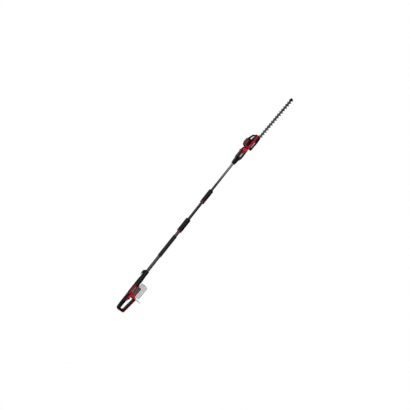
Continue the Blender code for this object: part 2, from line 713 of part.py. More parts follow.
def pod_half(side_name, side):
    """One half of the motor housing and of the bow in front of it."""
    name = "head_shell_" + side_name
    width = POD_HALF_WIDTH
    half = plate(name, BLACK, head, "XZ", -width, width, POD_OUTLINE, edge=7)
    width = LOOP_HALF_WIDTH
    loop = plate(
        name + "_loop", None, head, "XZ", -width, width, LOOP_OUTLINE, [LOOP_OPENING], edge=3
    )
    floor = plate(
        name + "_floor", None, head, "XY", BAND_TOP + GAP, 3, PLAN_OUTLINE, edge=1.5
    )
    combine(half, "UNION", loop, floor)
    motor = rod(name + "_motor", None, head, "Z", (MOTOR_AXIS, 0, 17), MOTOR_RADIUS + 1, 46, 28)
    holes = [pivot_clearance(name + "_ears"), motor]
    for index, place in enumerate(HEAD_SCREWS):
        holes.append(screw_hole(f"{name}_hole_{index}", head, *place))
    near, far = sorted((side * 16, side * 40))
    for index in range(3):
        height = 10 + 6.5 * index
        holes.append(box(f"{name}_vent_{index}", None, head, (60, near, height), (92, far, height + 3)))
    holes.append(half_space(name + "_split", head, side, (-20, 200)))
    return combine(half, "DIFFERENCE", *holes)


def gear_case():
    """The red gear case, with the knuckle that turns between the neck's ears."""
    case = plate("gear_case", RED, head, "XY", BAND_BOTTOM, BAND_TOP, PLAN_OUTLINE, edge=2)
    combine(case, "DIFFERENCE", pivot_clearance("gear_case_ears"))
    knuckle = plate("knuckle", None, head, "XZ", -9.3, 9.3, fillet([
        (40, -21, 2), (40, BAND_TOP - 1, 0), (24, BAND_TOP - 1, 0), (15, 14, 8), (-21, 14, 16),
        (-21, -21, 16),
    ]), edge=1)
    pad = box("nose_pad", None, head, (136, -8, GUIDE_BOTTOM + GUIDE_THICKNESS + GAP), (168, 8, -24))
    combine(case, "UNION", knuckle, pad)
    bolt = rod("knuckle_bore", None, head, "Y", (0, 0, 0), 5.3, 40, 20)
    gear_room = box("gear_room", None, head, (44.5, -27.5, -22), (121, 27.5, 10))
    shaft = rod("crank_bore", None, head, "Z", (CRANK_AXIS, 0, -25), 6.3, 12, 20)
    return combine(case, "DIFFERENCE", bolt, gear_room, shaft)


def bottom_cover():
    """The tray under the gear case that the crank and the blades' yokes run in."""
    top = BAND_BOTTOM - GAP
    outline = fillet([
        (24, -HEAD_HALF_WIDTH, 10), (118, -HEAD_HALF_WIDTH, 30), (168, -20, 6),
        (168, 20, 6), (118, HEAD_HALF_WIDTH, 30), (24, HEAD_HALF_WIDTH, 10),
    ])
    cover = plate("bottom_cover", BLACK, head, "XY", COVER_BOTTOM, top, outline, edge=3)
    room = box("cover_room", None, head, (56, -26, -40), (132, 26, -20))
    mouth = box("cover_mouth", None, head, (120, -15, -40), (200, 15, -20))
    combine(cover, "DIFFERENCE", pivot_clearance("cover_ears"), room, mouth)
    return cover


def motor():
    """The motor can, its rotor with the pinion, and the driven gear with the two eccentrics."""
    can = rod("motor_can", ZINC, head, "Z", (MOTOR_AXIS, 0, 17.15), MOTOR_RADIUS, 41.7, 28, edge=1.5)
    hollow = rod("motor_hollow", None, head, "Z", (MOTOR_AXIS, 0, 17), MOTOR_RADIUS - 3, 36, 24)
    hole = rod("motor_hole", None, head, "Z", (MOTOR_AXIS, 0, -2), 3.6, 12, 16)
    combine(can, "DIFFERENCE", hollow, hole)
    rotor = plate("rotor", STEEL, rotor_axis, "XY", -19, -10, gear_outline(PINION_TEETH))
    shaft = turned("rotor_core", None, rotor_axis, "Z", (0, 0, 0), [
        (34, 0), (34, 2), (31, 2), (31, 14), (3, 14), (3, 2.6), (-14, 2.6), (-14, 0),
    ], steps=20)
    combine(rotor, "UNION", shaft)
    crank = plate("crank_gear", STEEL, crank_axis, "XY", -18, -12, gear_outline(GEAR_TEETH))
    shaft = turned("crank_shaft", None, crank_axis, "Z", (0, 0, 0), [
        (-7, 0), (-7, 4), (-10, 6), (-32, 6), (-32, 5), (-38, 5), (-38, 0),
    ], steps=20)
    low = LOWER_BLADE_BOTTOM
    high = UPPER_BLADE_BOTTOM
    cams = []
    for name, side, bottom in (("upper_cam", 1, high), ("lower_cam", -1, low)):
        middle = bottom + BLADE_THICKNESS / 2
        place = (0, side * ECCENTRICITY, middle)
        cams.append(rod(name, None, crank_axis, "Z", place, ECCENTRIC_RADIUS, BLADE_THICKNESS, 24))
    web = rod("cam_web", None, crank_axis, "Z", (0, 0, (low + high + BLADE_THICKNESS) / 2), 2, 3, 12)
    combine(crank, "UNION", shaft, *cams, web)


def gear_outline(teeth):
    """Straight-sided teeth, slim enough to run with backlash."""
    pitch_radius = GEAR_MODULE * teeth / 2
    tip = pitch_radius + 0.75 * GEAR_MODULE
    root = pitch_radius - 1.1 * GEAR_MODULE
    points = []
    for k in range(teeth):
        turn = 2 * math.pi * k / teeth
        step = 2 * math.pi / teeth
        for radius, share in ((root, -0.26), (tip, -0.1), (tip, 0.1), (root, 0.26)):
            angle = turn + share * step
            points.append(Vector((radius * math.cos(angle), radius * math.sin(angle))))
    return points


def blade_outline():
    """A toothed blade seen from above, with its yoke round the crank."""
    right = []
    for k in range(TOOTH_COUNT):
        middle = FIRST_TOOTH + k * TOOTH_PITCH
        right += [
            (middle - TOOTH_ROOT_HALF, -SPINE_HALF_WIDTH), (middle - TOOTH_TIP_HALF, -TOOTH_TIP),
            (middle + TOOTH_TIP_HALF, -TOOTH_TIP), (middle + TOOTH_ROOT_HALF, -SPINE_HALF_WIDTH),
        ]
    yoke = [(CRANK_AXIS + 27, -SPINE_HALF_WIDTH), (CRANK_AXIS + 27, -16), (CRANK_AXIS + 22, -20.5),
            (CRANK_AXIS - 22, -20.5), (CRANK_AXIS - 27, -16)]
    edge = list(reversed(yoke)) + right + [(TIP_END - 12, -SPINE_HALF_WIDTH)]
    return [Vector(p) for p in edge] + [Vector((x, -y)) for x, y in reversed(edge)]


def slot_outline(a, half_length, half_width):
    """A round-ended slot along the blade."""
    return fillet([
        (a - half_length, -half_width, half_width - 0.05), (a + half_length, -half_width, half_width - 0.05),
        (a + half_length, half_width, half_width - 0.05), (a - half_length, half_width, half_width - 0.05),
    ], step=30)


def cutter():
    """Two reciprocating blades under the guide bar, the bolts through them and the tip guard."""
    reach = ECCENTRIC_RADIUS + ECCENTRICITY + 0.5
    holes = [slot_outline(CRANK_AXIS, reach + ECCENTRICITY, reach)]
    for station in BOLT_STATIONS:
        holes.append(slot_outline(station, BOLT_RADIUS + ECCENTRICITY + 0.6, BOLT_RADIUS + 0.5))
    for name, bottom in (("lower_blade", LOWER_BLADE_BOTTOM), ("upper_blade", UPPER_BLADE_BOTTOM)):
        plate(name, STEEL, head, "XY", bottom, bottom + BLADE_THICKNESS, blade_outline(), holes)
    top = GUIDE_BOTTOM + GUIDE_THICKNESS
    bar = fillet([(135, -9, 2), (TIP_END - 8, -9, 3), (TIP_END - 8, 9, 3), (135, 9, 2)])
    bar_holes = [circle(station, 0, BOLT_RADIUS + GAP, 12) for station in BOLT_STATIONS]
    plate("guide_bar", STEEL, head, "XY", GUIDE_BOTTOM, top, bar, bar_holes, edge=0.8, segments=1)
    head_bottom = LOWER_BLADE_BOTTOM - GAP
    for index, station in enumerate(BOLT_STATIONS):
        profile = [
            (top + 4, 0), (top + 4, 4), (top + GAP, 5), (top + GAP, BOLT_RADIUS),
            (head_bottom, BOLT_RADIUS), (head_bottom, 5.5), (head_bottom - 2, 5), (head_bottom - 2, 0),
        ]
        turned(f"bar_bolt_{index + 1}", ZINC, head, "Z", (station, 0, 0), profile, steps=12)
    under = head_bottom
    nose = TIP_END - 3.5
    plate("tip_guard", BLACK, head, "XZ", -9, 9, fillet([
        (600, top + GAP, 0), (nose, top + GAP, 0), (nose, under, 0), (606, under, 0), (606, under - 4, 0),
        (TIP_END - 5, under - 4, 0), (TIP_END, under + 1, 0), (TIP_END, top, 0), (TIP_END - 6, top + 4.5, 0),
        (600, top + 4.5, 0),
    ]))


for side_name, side in SIDES:
    pod_half(side_name, side)
for index, place in enumerate(HEAD_SCREWS):
    case_screw(f"head_screw_{index + 1}", head, *place)
gear_case()
bottom_cover()
motor()
cutter()
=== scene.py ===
"""Looks of the battery pole hedge trimmer: its mouldings, foam, tubes, steel and finishes.

Solids are modelled in millimetres in the frame of the pole (stations from the butt, heights from
the pole's axis) or of the cutter head (forward of the tilt pivot, above it), and then brought to
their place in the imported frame.
"""

import json
import math

import bmesh
import bpy
from mathutils import Matrix, Vector


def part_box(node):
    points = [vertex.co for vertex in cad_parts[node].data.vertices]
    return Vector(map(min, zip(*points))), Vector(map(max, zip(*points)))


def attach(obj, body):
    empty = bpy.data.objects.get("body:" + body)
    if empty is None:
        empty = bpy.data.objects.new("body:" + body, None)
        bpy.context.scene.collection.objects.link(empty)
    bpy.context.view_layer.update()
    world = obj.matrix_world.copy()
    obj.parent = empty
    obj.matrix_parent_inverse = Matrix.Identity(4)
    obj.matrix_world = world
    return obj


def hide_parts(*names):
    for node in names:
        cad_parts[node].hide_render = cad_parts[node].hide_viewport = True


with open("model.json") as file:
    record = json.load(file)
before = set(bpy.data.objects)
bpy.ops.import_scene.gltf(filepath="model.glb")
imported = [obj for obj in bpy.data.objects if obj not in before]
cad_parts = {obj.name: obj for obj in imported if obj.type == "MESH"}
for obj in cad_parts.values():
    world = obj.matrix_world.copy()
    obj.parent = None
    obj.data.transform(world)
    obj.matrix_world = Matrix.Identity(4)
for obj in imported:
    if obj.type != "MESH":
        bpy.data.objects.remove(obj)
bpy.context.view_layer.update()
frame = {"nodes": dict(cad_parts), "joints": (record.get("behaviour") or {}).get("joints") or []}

MM = 0.001
SEAM = 0.15  # from the middle plane to each half of a split case
SIDES = (("left", 1), ("right", -1))

# ---- places, read from the frame

joints = {joint["name"]: joint for joint in frame["joints"]}
tube_low, tube_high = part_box("lower_tube")
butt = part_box("butt_bumper")[0].x
stroke_axis = joints["upper_blade_stroke"]["axis"]
droop = math.atan2(-stroke_axis[2], stroke_axis[0])


def at(point, turn=0.0):
    """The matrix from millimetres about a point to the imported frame."""
    return Matrix.Translation(point) @ Matrix.Rotation(turn, 4, "Y") @ Matrix.Scale(MM, 4)


POLE = at((butt, 0, (tube_low.z + tube_high.z) / 2))
HEAD = at(joints["head_tilt"]["pos_m"], droop)
TRIGGER = at(joints["trigger_pull"]["pos_m"])
BAIL = at(joints["bail_fold"]["pos_m"])
RING = at(joints["ring_swing"]["pos_m"])


def span(side, near, far):
    """The low and high ends of a stretch beside the middle plane."""
    return sorted((side * near, side * far))


# ---- finishes

def settle(node, values):
    """Give a shader node its input values."""
    for socket, value in values.items():
        node.inputs[socket].default_value = value


def add(tree, kind, values=None):
    """A new shader node with its input values."""
    made = tree.nodes.new(kind)
    settle(made, values or {})
    return made


def shade(colour, share):
    """A colour made lighter or darker, as a four-part value."""
    return (*[min(1.0, part * share) for part in colour], 1)


def mixed(tree, factor, first, second):
    """Two colours, each a value or another node's output, mixed by a factor."""
    mix = add(tree, "ShaderNodeMix")
    mix.data_type = "RGBA"
    tree.links.new(factor, mix.inputs["Factor"])
    for socket, source in ((mix.inputs[6], first), (mix.inputs[7], second)):
        if isinstance(source, tuple):
            socket.default_value = source
        else:
            tree.links.new(source, socket)
    return mix.outputs[2]


def finish(name, slot, colour, roughness, metallic=0.0, tone=0.12, grain=2600, depth=0.03,
           stretch=(1, 1, 1), wear=0.0, fade=None, pores=False, specular=0.5, sheen=0.0):
    """A finish with mottled colour and gloss, a fine surface, worn edges and a fade along the pole."""
    made = bpy.data.materials.new(name)
    made.use_nodes = True
    tree = made.node_tree
    link = tree.links.new
    shader = tree.nodes["Principled BSDF"]
    settle(shader, {"Metallic": metallic, "Specular IOR Level": specular, "Sheen Weight": sheen})
    place = add(tree, "ShaderNodeTexCoord").outputs["Object"]
    patches = add(tree, "ShaderNodeTexNoise", {"Scale": 38, "Detail": 5, "Roughness": 0.6})
    link(place, patches.inputs["Vector"])

    def mottled(base):
        return mixed(tree, patches.outputs["Fac"], shade(base, 1 - tone), shade(base, 1 + tone))

    tint = mottled(colour)
    if fade:
        start, end, far_colour = fade
        along = add(tree, "ShaderNodeSeparateXYZ")
        link(place, along.inputs[0])
        ramp = add(tree, "ShaderNodeMapRange", {"From Min": start, "From Max": end})
        link(along.outputs["X"], ramp.inputs["Value"])
        tint = mixed(tree, ramp.outputs[0], tint, mottled(far_colour))
    if wear:
        edges = add(tree, "ShaderNodeMapRange", {"From Min": 0.53, "From Max": 0.62, "To Max": wear})
        link(add(tree, "ShaderNodeNewGeometry").outputs["Pointiness"], edges.inputs["Value"])
        tint = mixed(tree, edges.outputs[0], tint, shade([part + 0.04 for part in colour], 2.2))
    link(tint, shader.inputs["Base Color"])
    gloss = add(tree, "ShaderNodeMapRange", {"To Min": roughness * 0.86, "To Max": roughness * 1.14})
    link(patches.outputs["Fac"], gloss.inputs["Value"])
    link(gloss.outputs[0], shader.inputs["Roughness"])
    mapping = add(tree, "ShaderNodeMapping", {"Scale": stretch})
    link(place, mapping.inputs["Vector"])
    if pores:
        fine = add(tree, "ShaderNodeTexVoronoi", {"Scale": grain})
        height = fine.outputs["Distance"]
    else:
        fine = add(tree, "ShaderNodeTexNoise", {"Scale": grain, "Detail": 3})
        height = fine.outputs["Fac"]
    link(mapping.outputs[0], fine.inputs["Vector"])
    bump = add(tree, "ShaderNodeBump", {"Strength": 0.35, "Distance": depth * MM})
    link(height, bump.inputs["Height"])
    link(bump.outputs[0], shader.inputs["Normal"])
    made["slot"] = slot
    return made


BRUSHED = (0.03, 1, 1)  # streaks along the pole
CROSS_GROUND = (1, 0.05, 1)  # streaks across the blade
NECK_FADE = (0.20, 0.46)  # metres along the frame, from near the front clamp to the neck
TIP_FADE = (0.86, 1.2)  # from near the first teeth to the tip
GLOSSY = {"tone": 0.06, "depth": 0.02, "wear": 0.05}
FILM = {"grain": 900, "depth": 0.008}
TUBE = {"metallic": 0.5, "grain": 900, "depth": 0.015, "stretch": BRUSHED}
BLACK = finish("moulded black", "black_plastic", (0.0075, 0.0075, 0.008), 0.52, wear=0.06, specular=0.15)
GRIP = finish("overmoulded black", "black_plastic", (0.006, 0.006, 0.006), 0.70, grain=1700, depth=0.06,
              specular=0.12)
RED = finish("moulded red", "red_plastic", (0.62, 0.016, 0.034), 0.38, specular=0.35, **GLOSSY)
# The clamp collars' moulded red, made darker than RED to paint the shade that falls on them
SHADED_RED = finish("collar red with painted shade", "red_plastic", (0.15, 0.003, 0.009), 0.42, specular=0.25, **GLOSSY)
LABEL = finish("label film", "label_film", (0.016, 0.009, 0.010), 0.32, tone=0.05, specular=0.25, **FILM)
PALE = finish("pale label", "label_film", (0.50, 0.51, 0.49), 0.36, tone=0.05, specular=0.3, **FILM)
MARK = finish("label marks", "label_film", (0.44, 0.34, 0.34), 0.40, tone=0.08, **FILM)
HOLDER = finish("moulded grey", "grey_plastic", (0.105, 0.085, 0.080), 0.55, wear=0.08, specular=0.3)
PACK = finish("moulded pale grey", "battery_plastic", (0.76, 0.76, 0.77), 0.50, tone=0.05, wear=0.05)
PACK_DARK = finish("pack details", "battery_plastic", (0.36, 0.36, 0.37), 0.45, tone=0.06)
FOAM = finish("closed-cell foam", "foam", (0.020, 0.020, 0.020), 0.80, grain=900, depth=0.25, pores=True,
              sheen=0.06, specular=0.18)
LOWER_METAL = finish("dark anodised tube", "dark_aluminium", (0.044, 0.044, 0.047), 0.42, tone=0.10, **TUBE)
MID_METAL = finish("black anodised tube", "dark_aluminium", (0.014, 0.014, 0.015), 0.42, tone=0.10, **TUBE)
UPPER_METAL = finish("satin tube", "grey_aluminium", (0.020, 0.020, 0.021), 0.40, tone=0.08,
                     fade=(*NECK_FADE, (0.235, 0.235, 0.24)), **TUBE)
STEEL = finish("ground steel", "blade_steel", (0.12, 0.12, 0.122), 0.42, 0.6, tone=0.16, grain=700,
               depth=0.02, stretch=CROSS_GROUND, wear=0.15, fade=(*TIP_FADE, (0.035, 0.035, 0.036)))
BAR_STEEL = finish("blackened steel", "blade_steel", (0.045, 0.045, 0.046), 0.45, 0.6, tone=0.14,
                   grain=700, depth=0.02, stretch=BRUSHED, wear=0.12,
                   fade=(*TIP_FADE, (0.025, 0.025, 0.026)))
ZINC = finish("zinc plate", "zinc_steel", (0.46, 0.46, 0.48), 0.36, 0.8, tone=0.10, grain=500,
              depth=0.02, wear=0.1)
STAND = finish("plated wire", "zinc_steel", (0.60, 0.60, 0.61), 0.42, 0.25, tone=0.06, grain=500, depth=0.02)
BRASS = finish("contact brass", "contact_brass", (0.60, 0.44, 0.18), 0.32, 1.0, tone=0.10)
RUBBER = finish("lead rubber", "lead_rubber", (0.010, 0.010, 0.010), 0.75, specular=0.2)


# ---- modelling in millimetres

SLIVER = 0.002  # the longest edge that is merged away after a cut
CLEARANCE = 0.3  # between neighbouring pieces


def shown(data, name="solid"):
    """An object that holds a mesh, curve, lamp or camera, linked to the scene."""
    made = bpy.data.objects.new(name, data)
    bpy.context.scene.collection.objects.link(made)
    return made


def from_bmesh(bm):
    """A bmesh as a piece."""
    mesh = bpy.data.meshes.new("solid")
    bm.to_mesh(mesh)
    return shown(mesh)


def sewn(bm, pairs):
    """A piece with faces between pairs of rings of vertices. A ring can be one vertex repeated."""
    for first, second in pairs:
        count = len(first)
        for k in range(count):
            n = (k + 1) % count
            bm.faces.new(list(dict.fromkeys((first[k], first[n], second[n], second[k]))))
    bmesh.ops.recalc_face_normals(bm, faces=bm.faces)
    return from_bmesh(bm)


def evaluated(piece):
    """The mesh that a piece's modifiers or its curve settings make."""
    bpy.context.view_layer.update()
    graph = bpy.context.evaluated_depsgraph_get()
    return bpy.data.meshes.new_from_object(piece.evaluated_get(graph))


def applied(piece):
    """Apply a piece's modifiers."""
    mesh = evaluated(piece)
    piece.modifiers.clear()
    piece.data = mesh
    return piece


def tidy(piece):
    """Merge the slivers that a cut can leave."""
    bm = bmesh.new()
    bm.from_mesh(piece.data)
    bmesh.ops.remove_doubles(bm, verts=bm.verts, dist=SLIVER)
    bmesh.ops.dissolve_degenerate(bm, edges=bm.edges, dist=SLIVER)
    bmesh.ops.delete(bm, geom=[v for v in bm.verts if not v.link_faces], context="VERTS")
    bm.to_mesh(piece.data)
    return piece


def combine(piece, operation, *tools):
    """A piece with others cut out of it or joined to it. The others are used up."""
    for tool in tools:
        made = piece.modifiers.new("combined", "BOOLEAN")
        made.operation = operation
        made.solver = "EXACT"
        made.object = tool
        tidy(applied(piece))
        bpy.data.objects.remove(tool)
    return piece


def cut(piece, *tools):
    """Cut pieces out of a piece."""
    return combine(piece, "DIFFERENCE", *tools)


def join(piece, *tools):
    """Join pieces to a piece."""
    return combine(piece, "UNION", *tools)


def gather(*solids):
    """Separate solids kept as one mesh."""
    bm = bmesh.new()
    for part in solids:
        bm.from_mesh(part.data)
        bpy.data.objects.remove(part)
    return from_bmesh(bm)


def eased(piece, width, segments=4, angle=50):
    """Round the edges that are sharper than the angle."""
    if width:
        made = piece.modifiers.new("eased", "BEVEL")
        made.width = width
        made.segments = segments
        made.limit_method = "ANGLE"
        made.angle_limit = math.radians(angle)
        made.miter_outer = "MITER_ARC"
        applied(piece)
    return piece


def block(low, high, edge=0.0):
    """A block between two corners, with eased edges."""
    low, high = Vector(low), Vector(high)
    bm = bmesh.new()
    bmesh.ops.create_cube(bm, size=1)
    size = Matrix.Translation((low + high) / 2) @ Matrix.Diagonal((*(high - low), 1))
    bmesh.ops.transform(bm, matrix=size, verts=bm.verts)
    return eased(from_bmesh(bm), edge, 3)


def fillet(corners, step=7):
    """Outline points, with each corner (a, b, radius) rounded by an arc."""
    points = []
    for i, (a, b, radius) in enumerate(corners):
        here = Vector((a, b))
        if radius == 0:
            points.append(here)
            continue
        back = (Vector(corners[i - 1][:2]) - here).normalized()
        ahead = (Vector(corners[(i + 1) % len(corners)][:2]) - here).normalized()
        half = back.angle(ahead) / 2
        centre = here + (back + ahead).normalized() * radius / math.sin(half)
        start = here + back * radius / math.tan(half) - centre
        end = here + ahead * radius / math.tan(half) - centre
        turn = math.atan2(start.x * end.y - start.y * end.x, start.dot(end))
        count = max(2, round(abs(math.degrees(turn)) / step))
        for k in range(count + 1):
            points.append(centre + Matrix.Rotation(turn * k / count, 2) @ start)
    return points


def mirrored(half):
    """The corners of an outline that is the same on both sides of its long axis, from one side's."""
    return half + [(a, -b, radius) for a, b, radius in reversed(half)]


def oblong(a1, b1, a2, b2, radius, step=7):
    """A rounded rectangle between two opposite corners."""
    return fillet([(a1, b1, radius), (a2, b1, radius), (a2, b2, radius), (a1, b2, radius)], step)


def circle(a, b, radius, sides=48):
    """The points of a circle, or of a regular polygon."""
    turns = [2 * math.pi * k / sides for k in range(sides)]
    return [Vector((a + radius * math.cos(t), b + radius * math.sin(t))) for t in turns]


def stroke(path, width):
    """The outline of a stroke of constant width along a flat path."""
    sides = ([], [])
    for i, here in enumerate(path):
        back = path[max(i - 1, 0)]
        ahead = path[min(i + 1, len(path) - 1)]
        way = (ahead - back).normalized()
        across = Vector((-way.y, way.x)) * width / 2
        sides[0].append(here + across)
        sides[1].append(here - across)
    return sides[0] + list(reversed(sides[1]))


def from_curve(curve):
    """The closed mesh of a curve, as a piece."""
    holder = shown(curve)
    mesh = evaluated(holder)
    bpy.data.objects.remove(holder)
    bm = bmesh.new()
    bm.from_mesh(mesh)
    bmesh.ops.remove_doubles(bm, verts=bm.verts, dist=0.001)
    bmesh.ops.dissolve_limit(bm, angle_limit=math.radians(0.5), verts=bm.verts, edges=bm.edges)
    bmesh.ops.recalc_face_normals(bm, faces=bm.faces)
    bm.to_mesh(mesh)
    return shown(mesh)


def add_path(curve, points, cyclic=True):
    """Add straight stretches through points to a curve."""
    spline = curve.splines.new("POLY")
    spline.points.add(len(points) - 1)
    for point, place in zip(spline.points, points):
        point.co = (*Vector(place).to_3d(), 1)
    spline.use_cyclic_u = cyclic


def plate(outline, low, high, plane="XZ", holes=(), edge=0.0, segments=4):
    """A flat outline made thick, from low to high along the axis that its plane leaves."""
    curve = bpy.data.curves.new("outline", "CURVE")
    curve.dimensions = "2D"
    curve.fill_mode = "BOTH"
    curve.extrude = (high - low) / 2
    for ring in (outline, *holes):
        add_path(curve, ring)
    made = from_curve(curve)
    middle = (low + high) / 2
    upright = Matrix(((0, 0, 1, 0), (1, 0, 0, 0), (0, 1, 0, 0), (0, 0, 0, 1)))
    stand = {
        "XZ": Matrix.Translation((0, middle, 0)) @ Matrix.Rotation(math.radians(90), 4, "X"),
        "YZ": Matrix.Translation((middle, 0, 0)) @ upright,
        "XY": Matrix.Translation((0, 0, middle)),
    }
    made.data.transform(stand[plane])
    return eased(made, edge, segments)


def lathe(profile, axis="X", centre=(0, 0, 0), steps=96, wave=None):
    """A turned shape. The profile's (along, radius) points run round the section, and wave(along,
    turn, radius) adds to the radius."""
    bm = bmesh.new()
    rings = []
    for along, radius in profile:
        if radius == 0:
            rings.append([bm.verts.new((0, 0, along))] * steps)
            continue
        ring = []
        for k in range(steps):
            turn = 2 * math.pi * k / steps
            reach = radius + (wave(along, turn, radius) if wave else 0)
            ring.append(bm.verts.new((reach * math.cos(turn), reach * math.sin(turn), along)))
        rings.append(ring)
    pairs = list(zip(rings, rings[1:]))
    if profile[0][1] > 0:
        pairs.append((rings[-1], rings[0]))
    made = sewn(bm, pairs)
    about, degrees = {"X": ("Y", 90), "Y": ("X", -90), "Z": ("Z", 0)}[axis]
    stand = Matrix.Rotation(math.radians(degrees), 4, about)
    made.data.transform(Matrix.Translation(centre) @ stand)
    return made


def rod(axis, centre, radius, length, steps=48, edge=0.0):
    """A cylinder with eased ends, by its middle."""
    reach = length / 2
    section = fillet([(reach, 0, 0), (reach, radius, edge), (-reach, radius, edge), (-reach, 0, 0)], 20)
    return lathe(section, axis, centre, steps)


def tube(rear, front, outer, inner, edge=0.4):
    """A hollow tube along X with eased ends."""
    return lathe(fillet([
        (front, inner, edge / 2), (front, outer, edge), (rear, outer, edge), (rear, inner, edge / 2),
    ], 20))


def groove(middle, radius, half_mouth, half_floor, depth):
    """The corners of a groove round a turned shape, in a profile that runs from front to rear."""
    return [(middle + half_mouth, radius, 0.4), (middle + half_floor, radius - depth, 0.3),
            (middle - half_floor, radius - depth, 0.3), (middle - half_mouth, radius, 0.4)]


def divided(outline, step, least=0.0):
    """A closed section with its stretches along the axis cut into steps, beyond the least radius."""
    points = []
    for p, q in zip(outline, outline[1:] + outline[:1]):
        points.append((p.x, p.y))
        count = int(abs(q.x - p.x) / step) if min(p.y, q.y) > least else 0
        points += [(p.x + (q.x - p.x) * k / count, p.y + (q.y - p.y) * k / count) for k in range(1, count)]
    return points


def wire(points, radius, cyclic=False):
    """A round wire along a list of points."""
    curve = bpy.data.curves.new("wire", "CURVE")
    curve.dimensions = "3D"
    curve.bevel_depth = radius
    curve.bevel_resolution = 8
    curve.use_fill_caps = not cyclic
    add_path(curve, points, cyclic)
    return from_curve(curve)


def bends(points, radius):
    """A path through points, with its corners rounded."""
    path = [Vector(points[0])]
    count = 8
    for back, here, ahead in zip(points, points[1:], points[2:]):
        here = Vector(here)
        start = here + (Vector(back) - here).normalized() * radius
        end = here + (Vector(ahead) - here).normalized() * radius
        for k in range(count + 1):
            t = k / count
            path.append(start * (1 - t) ** 2 + here * 2 * t * (1 - t) + end * t ** 2)
    path.append(Vector(points[-1]))
    return path


def skin(rings):
    """A closed sleeve through rings of points, whose last ring joins the first."""
    bm = bmesh.new()
    made = [[bm.verts.new(point) for point in ring] for ring in rings]
    return sewn(bm, zip(made, made[1:] + made[:1]))


def half_of(case, side):
    """A copy of one half of a case that is split in the middle plane, with its edges eased."""
    long, wide = 4000, 400  # past the ends and the sides of any case
    low, high = span(side, -wide, SEAM)
    half = cut(shown(case.data.copy()), block((-long, low, -wide), (long, high, wide)))
    return eased(half, 0.25, 2, 60)


def place(name, piece, where, look, body, *nodes, sharp=32):
    """Bring a solid to its place, and give it its finish, its body and the CAD nodes it stands for."""
    piece.name = name
    piece.data.name = name
    piece.data.transform(where)
    piece.data.materials.clear()
    piece.data.materials.append(look)
    piece.data.shade_smooth()
    piece.data.set_sharp_from_angle(angle=math.radians(sharp))
    piece.modifiers.new("weighted", "WEIGHTED_NORMAL").keep_sharp = True
    applied(piece)
    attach(piece, body)
    if nodes:
        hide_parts(*nodes)
    return piece


def case_screws(name, places, where, body, node):
    """Pan-head screws in their counterbores, each with a cross recess in its head."""
    for number, (station, height) in enumerate(places, 1):
        low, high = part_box(f"{node}_{number}")
        head_top = (where.inverted() @ low).y
        tip = (where.inverted() @ high).y
        seat = head_top + 2.6
        section = fillet([
            (tip, 0, 0), (tip, 1.8, 0.3), (seat, 1.8, 0), (seat, 3.3, 0.3),
            (head_top + 0.6, 3.2, 0.8), (head_top, 1.8, 0.4), (head_top, 0, 0),
        ], 15)
        screw = lathe(section, "Y", (station, 0, height), 40)
        arms = [
            block((station - a, head_top - 1, height - b), (station + a, head_top + 1.4, height + b))
            for a, b in ((1.7, 0.4), (0.4, 1.7))
        ]
        place(f"{name}_{number}", cut(screw, *arms), where, ZINC, body, f"{node}_{number}")


def screw_room(station, height):
    """The hole of a case screw, with its counterbore on the right side."""
    profile = [(60, 0), (60, 2.1), (-8, 2.1), (-8, 3.9), (-60, 3.9), (-60, 0)]
    return lathe(profile, "Y", (station, 0, height), 40)


# ---- rear handle

GRIP_HALF_WIDTH = 17
BODY_HALF_WIDTH = 22
HANDLE_OUTLINE = fillet([
    (4.5, -60, 16), (4.5, 14, 15), (60, 17, 40), (185, 17, 0), (190, -18, 0), (190, -47, 6), (170, -80, 5),
    (158, -79, 20),
])
HAND_OPENING = fillet([(22, -11, 12), (150, -15, 9), (158, -62, 12), (24, -45, 12)])
HANDLE_SCREWS = ((14, -20), (178, -44), (175.5, 6))
TRIM_OUTLINE = fillet([
    (104, -2, 2), (150, -3, 0), (173, -3, 3), (175, -19, 2), (187, -19, 2), (187, -47, 5), (169, -77, 3),
    (161, -76, 3), (162, -30, 8), (148, -12.5, 6), (104, -9, 2),
])
TRIGGER_PIVOT = (152, -10)
TRIGGER_HOLE = 2.3
BAIL_PIVOT = (166, -70)
BAIL_HOLE = 2.9
LOWER_TUBE = (300, 1000, 14.75, 13.35)  # rear end, front end, outer radius, inner radius


def handle_case():
    """The clamshell: a D grip, the wider body over the battery and the round neck."""
    width = GRIP_HALF_WIDTH
    case = plate(HANDLE_OUTLINE, -width, width, holes=[HAND_OPENING], edge=5.5, segments=6)
    body = plate(fillet([(176, 17, 6), (279, 17, 5), (279, -18, 4), (180, -18, 4)]),
                 -BODY_HALF_WIDTH, BODY_HALF_WIDTH, edge=5, segments=6)
    grooves = [corner for station in (312, 305, 298) for corner in groove(station, 24, 1.6, 0.9, 1)]
    neck = lathe(fillet([
        (387.7, 0, 0), (387.7, 20.5, 1.5), (358, 22, 20), (330, 24, 20), *grooves, (290, 24, 4),
        (276.3, 24, 2), (274.1, 16.4, 0.5), (262, 16.2, 0), (262, 0, 0),
    ], 12))
    join(case, body, neck)
    body_room = block((183, -19, -15), (272, 19, 14))
    grip_room = block((30, -13, -8), (168, 13, 13))
    wire_way = block((160, -3, -8), (190, 3, -2))
    pole_bore = rod("X", (360, 0, 0), LOWER_TUBE[2] + CLEARANCE, 200, 80)
    trigger_slot = block((100, -7.5, -22), (160, 7.5, -7), 0.8)
    slider_slot = block((126, -5.5, 12), (150, 5.5, 20), 0.8)
    pin_hole = rod("Y", (TRIGGER_PIVOT[0], 0, TRIGGER_PIVOT[1]), TRIGGER_HOLE, 26)
    bail_hole = rod("Y", (BAIL_PIVOT[0], 0, BAIL_PIVOT[1]), BAIL_HOLE, 60)
    screw_rooms = [screw_room(*screw) for screw in HANDLE_SCREWS]
    return cut(case, body_room, grip_room, wire_way, pole_bore, trigger_slot, slider_slot, pin_hole,
               bail_hole, *screw_rooms)


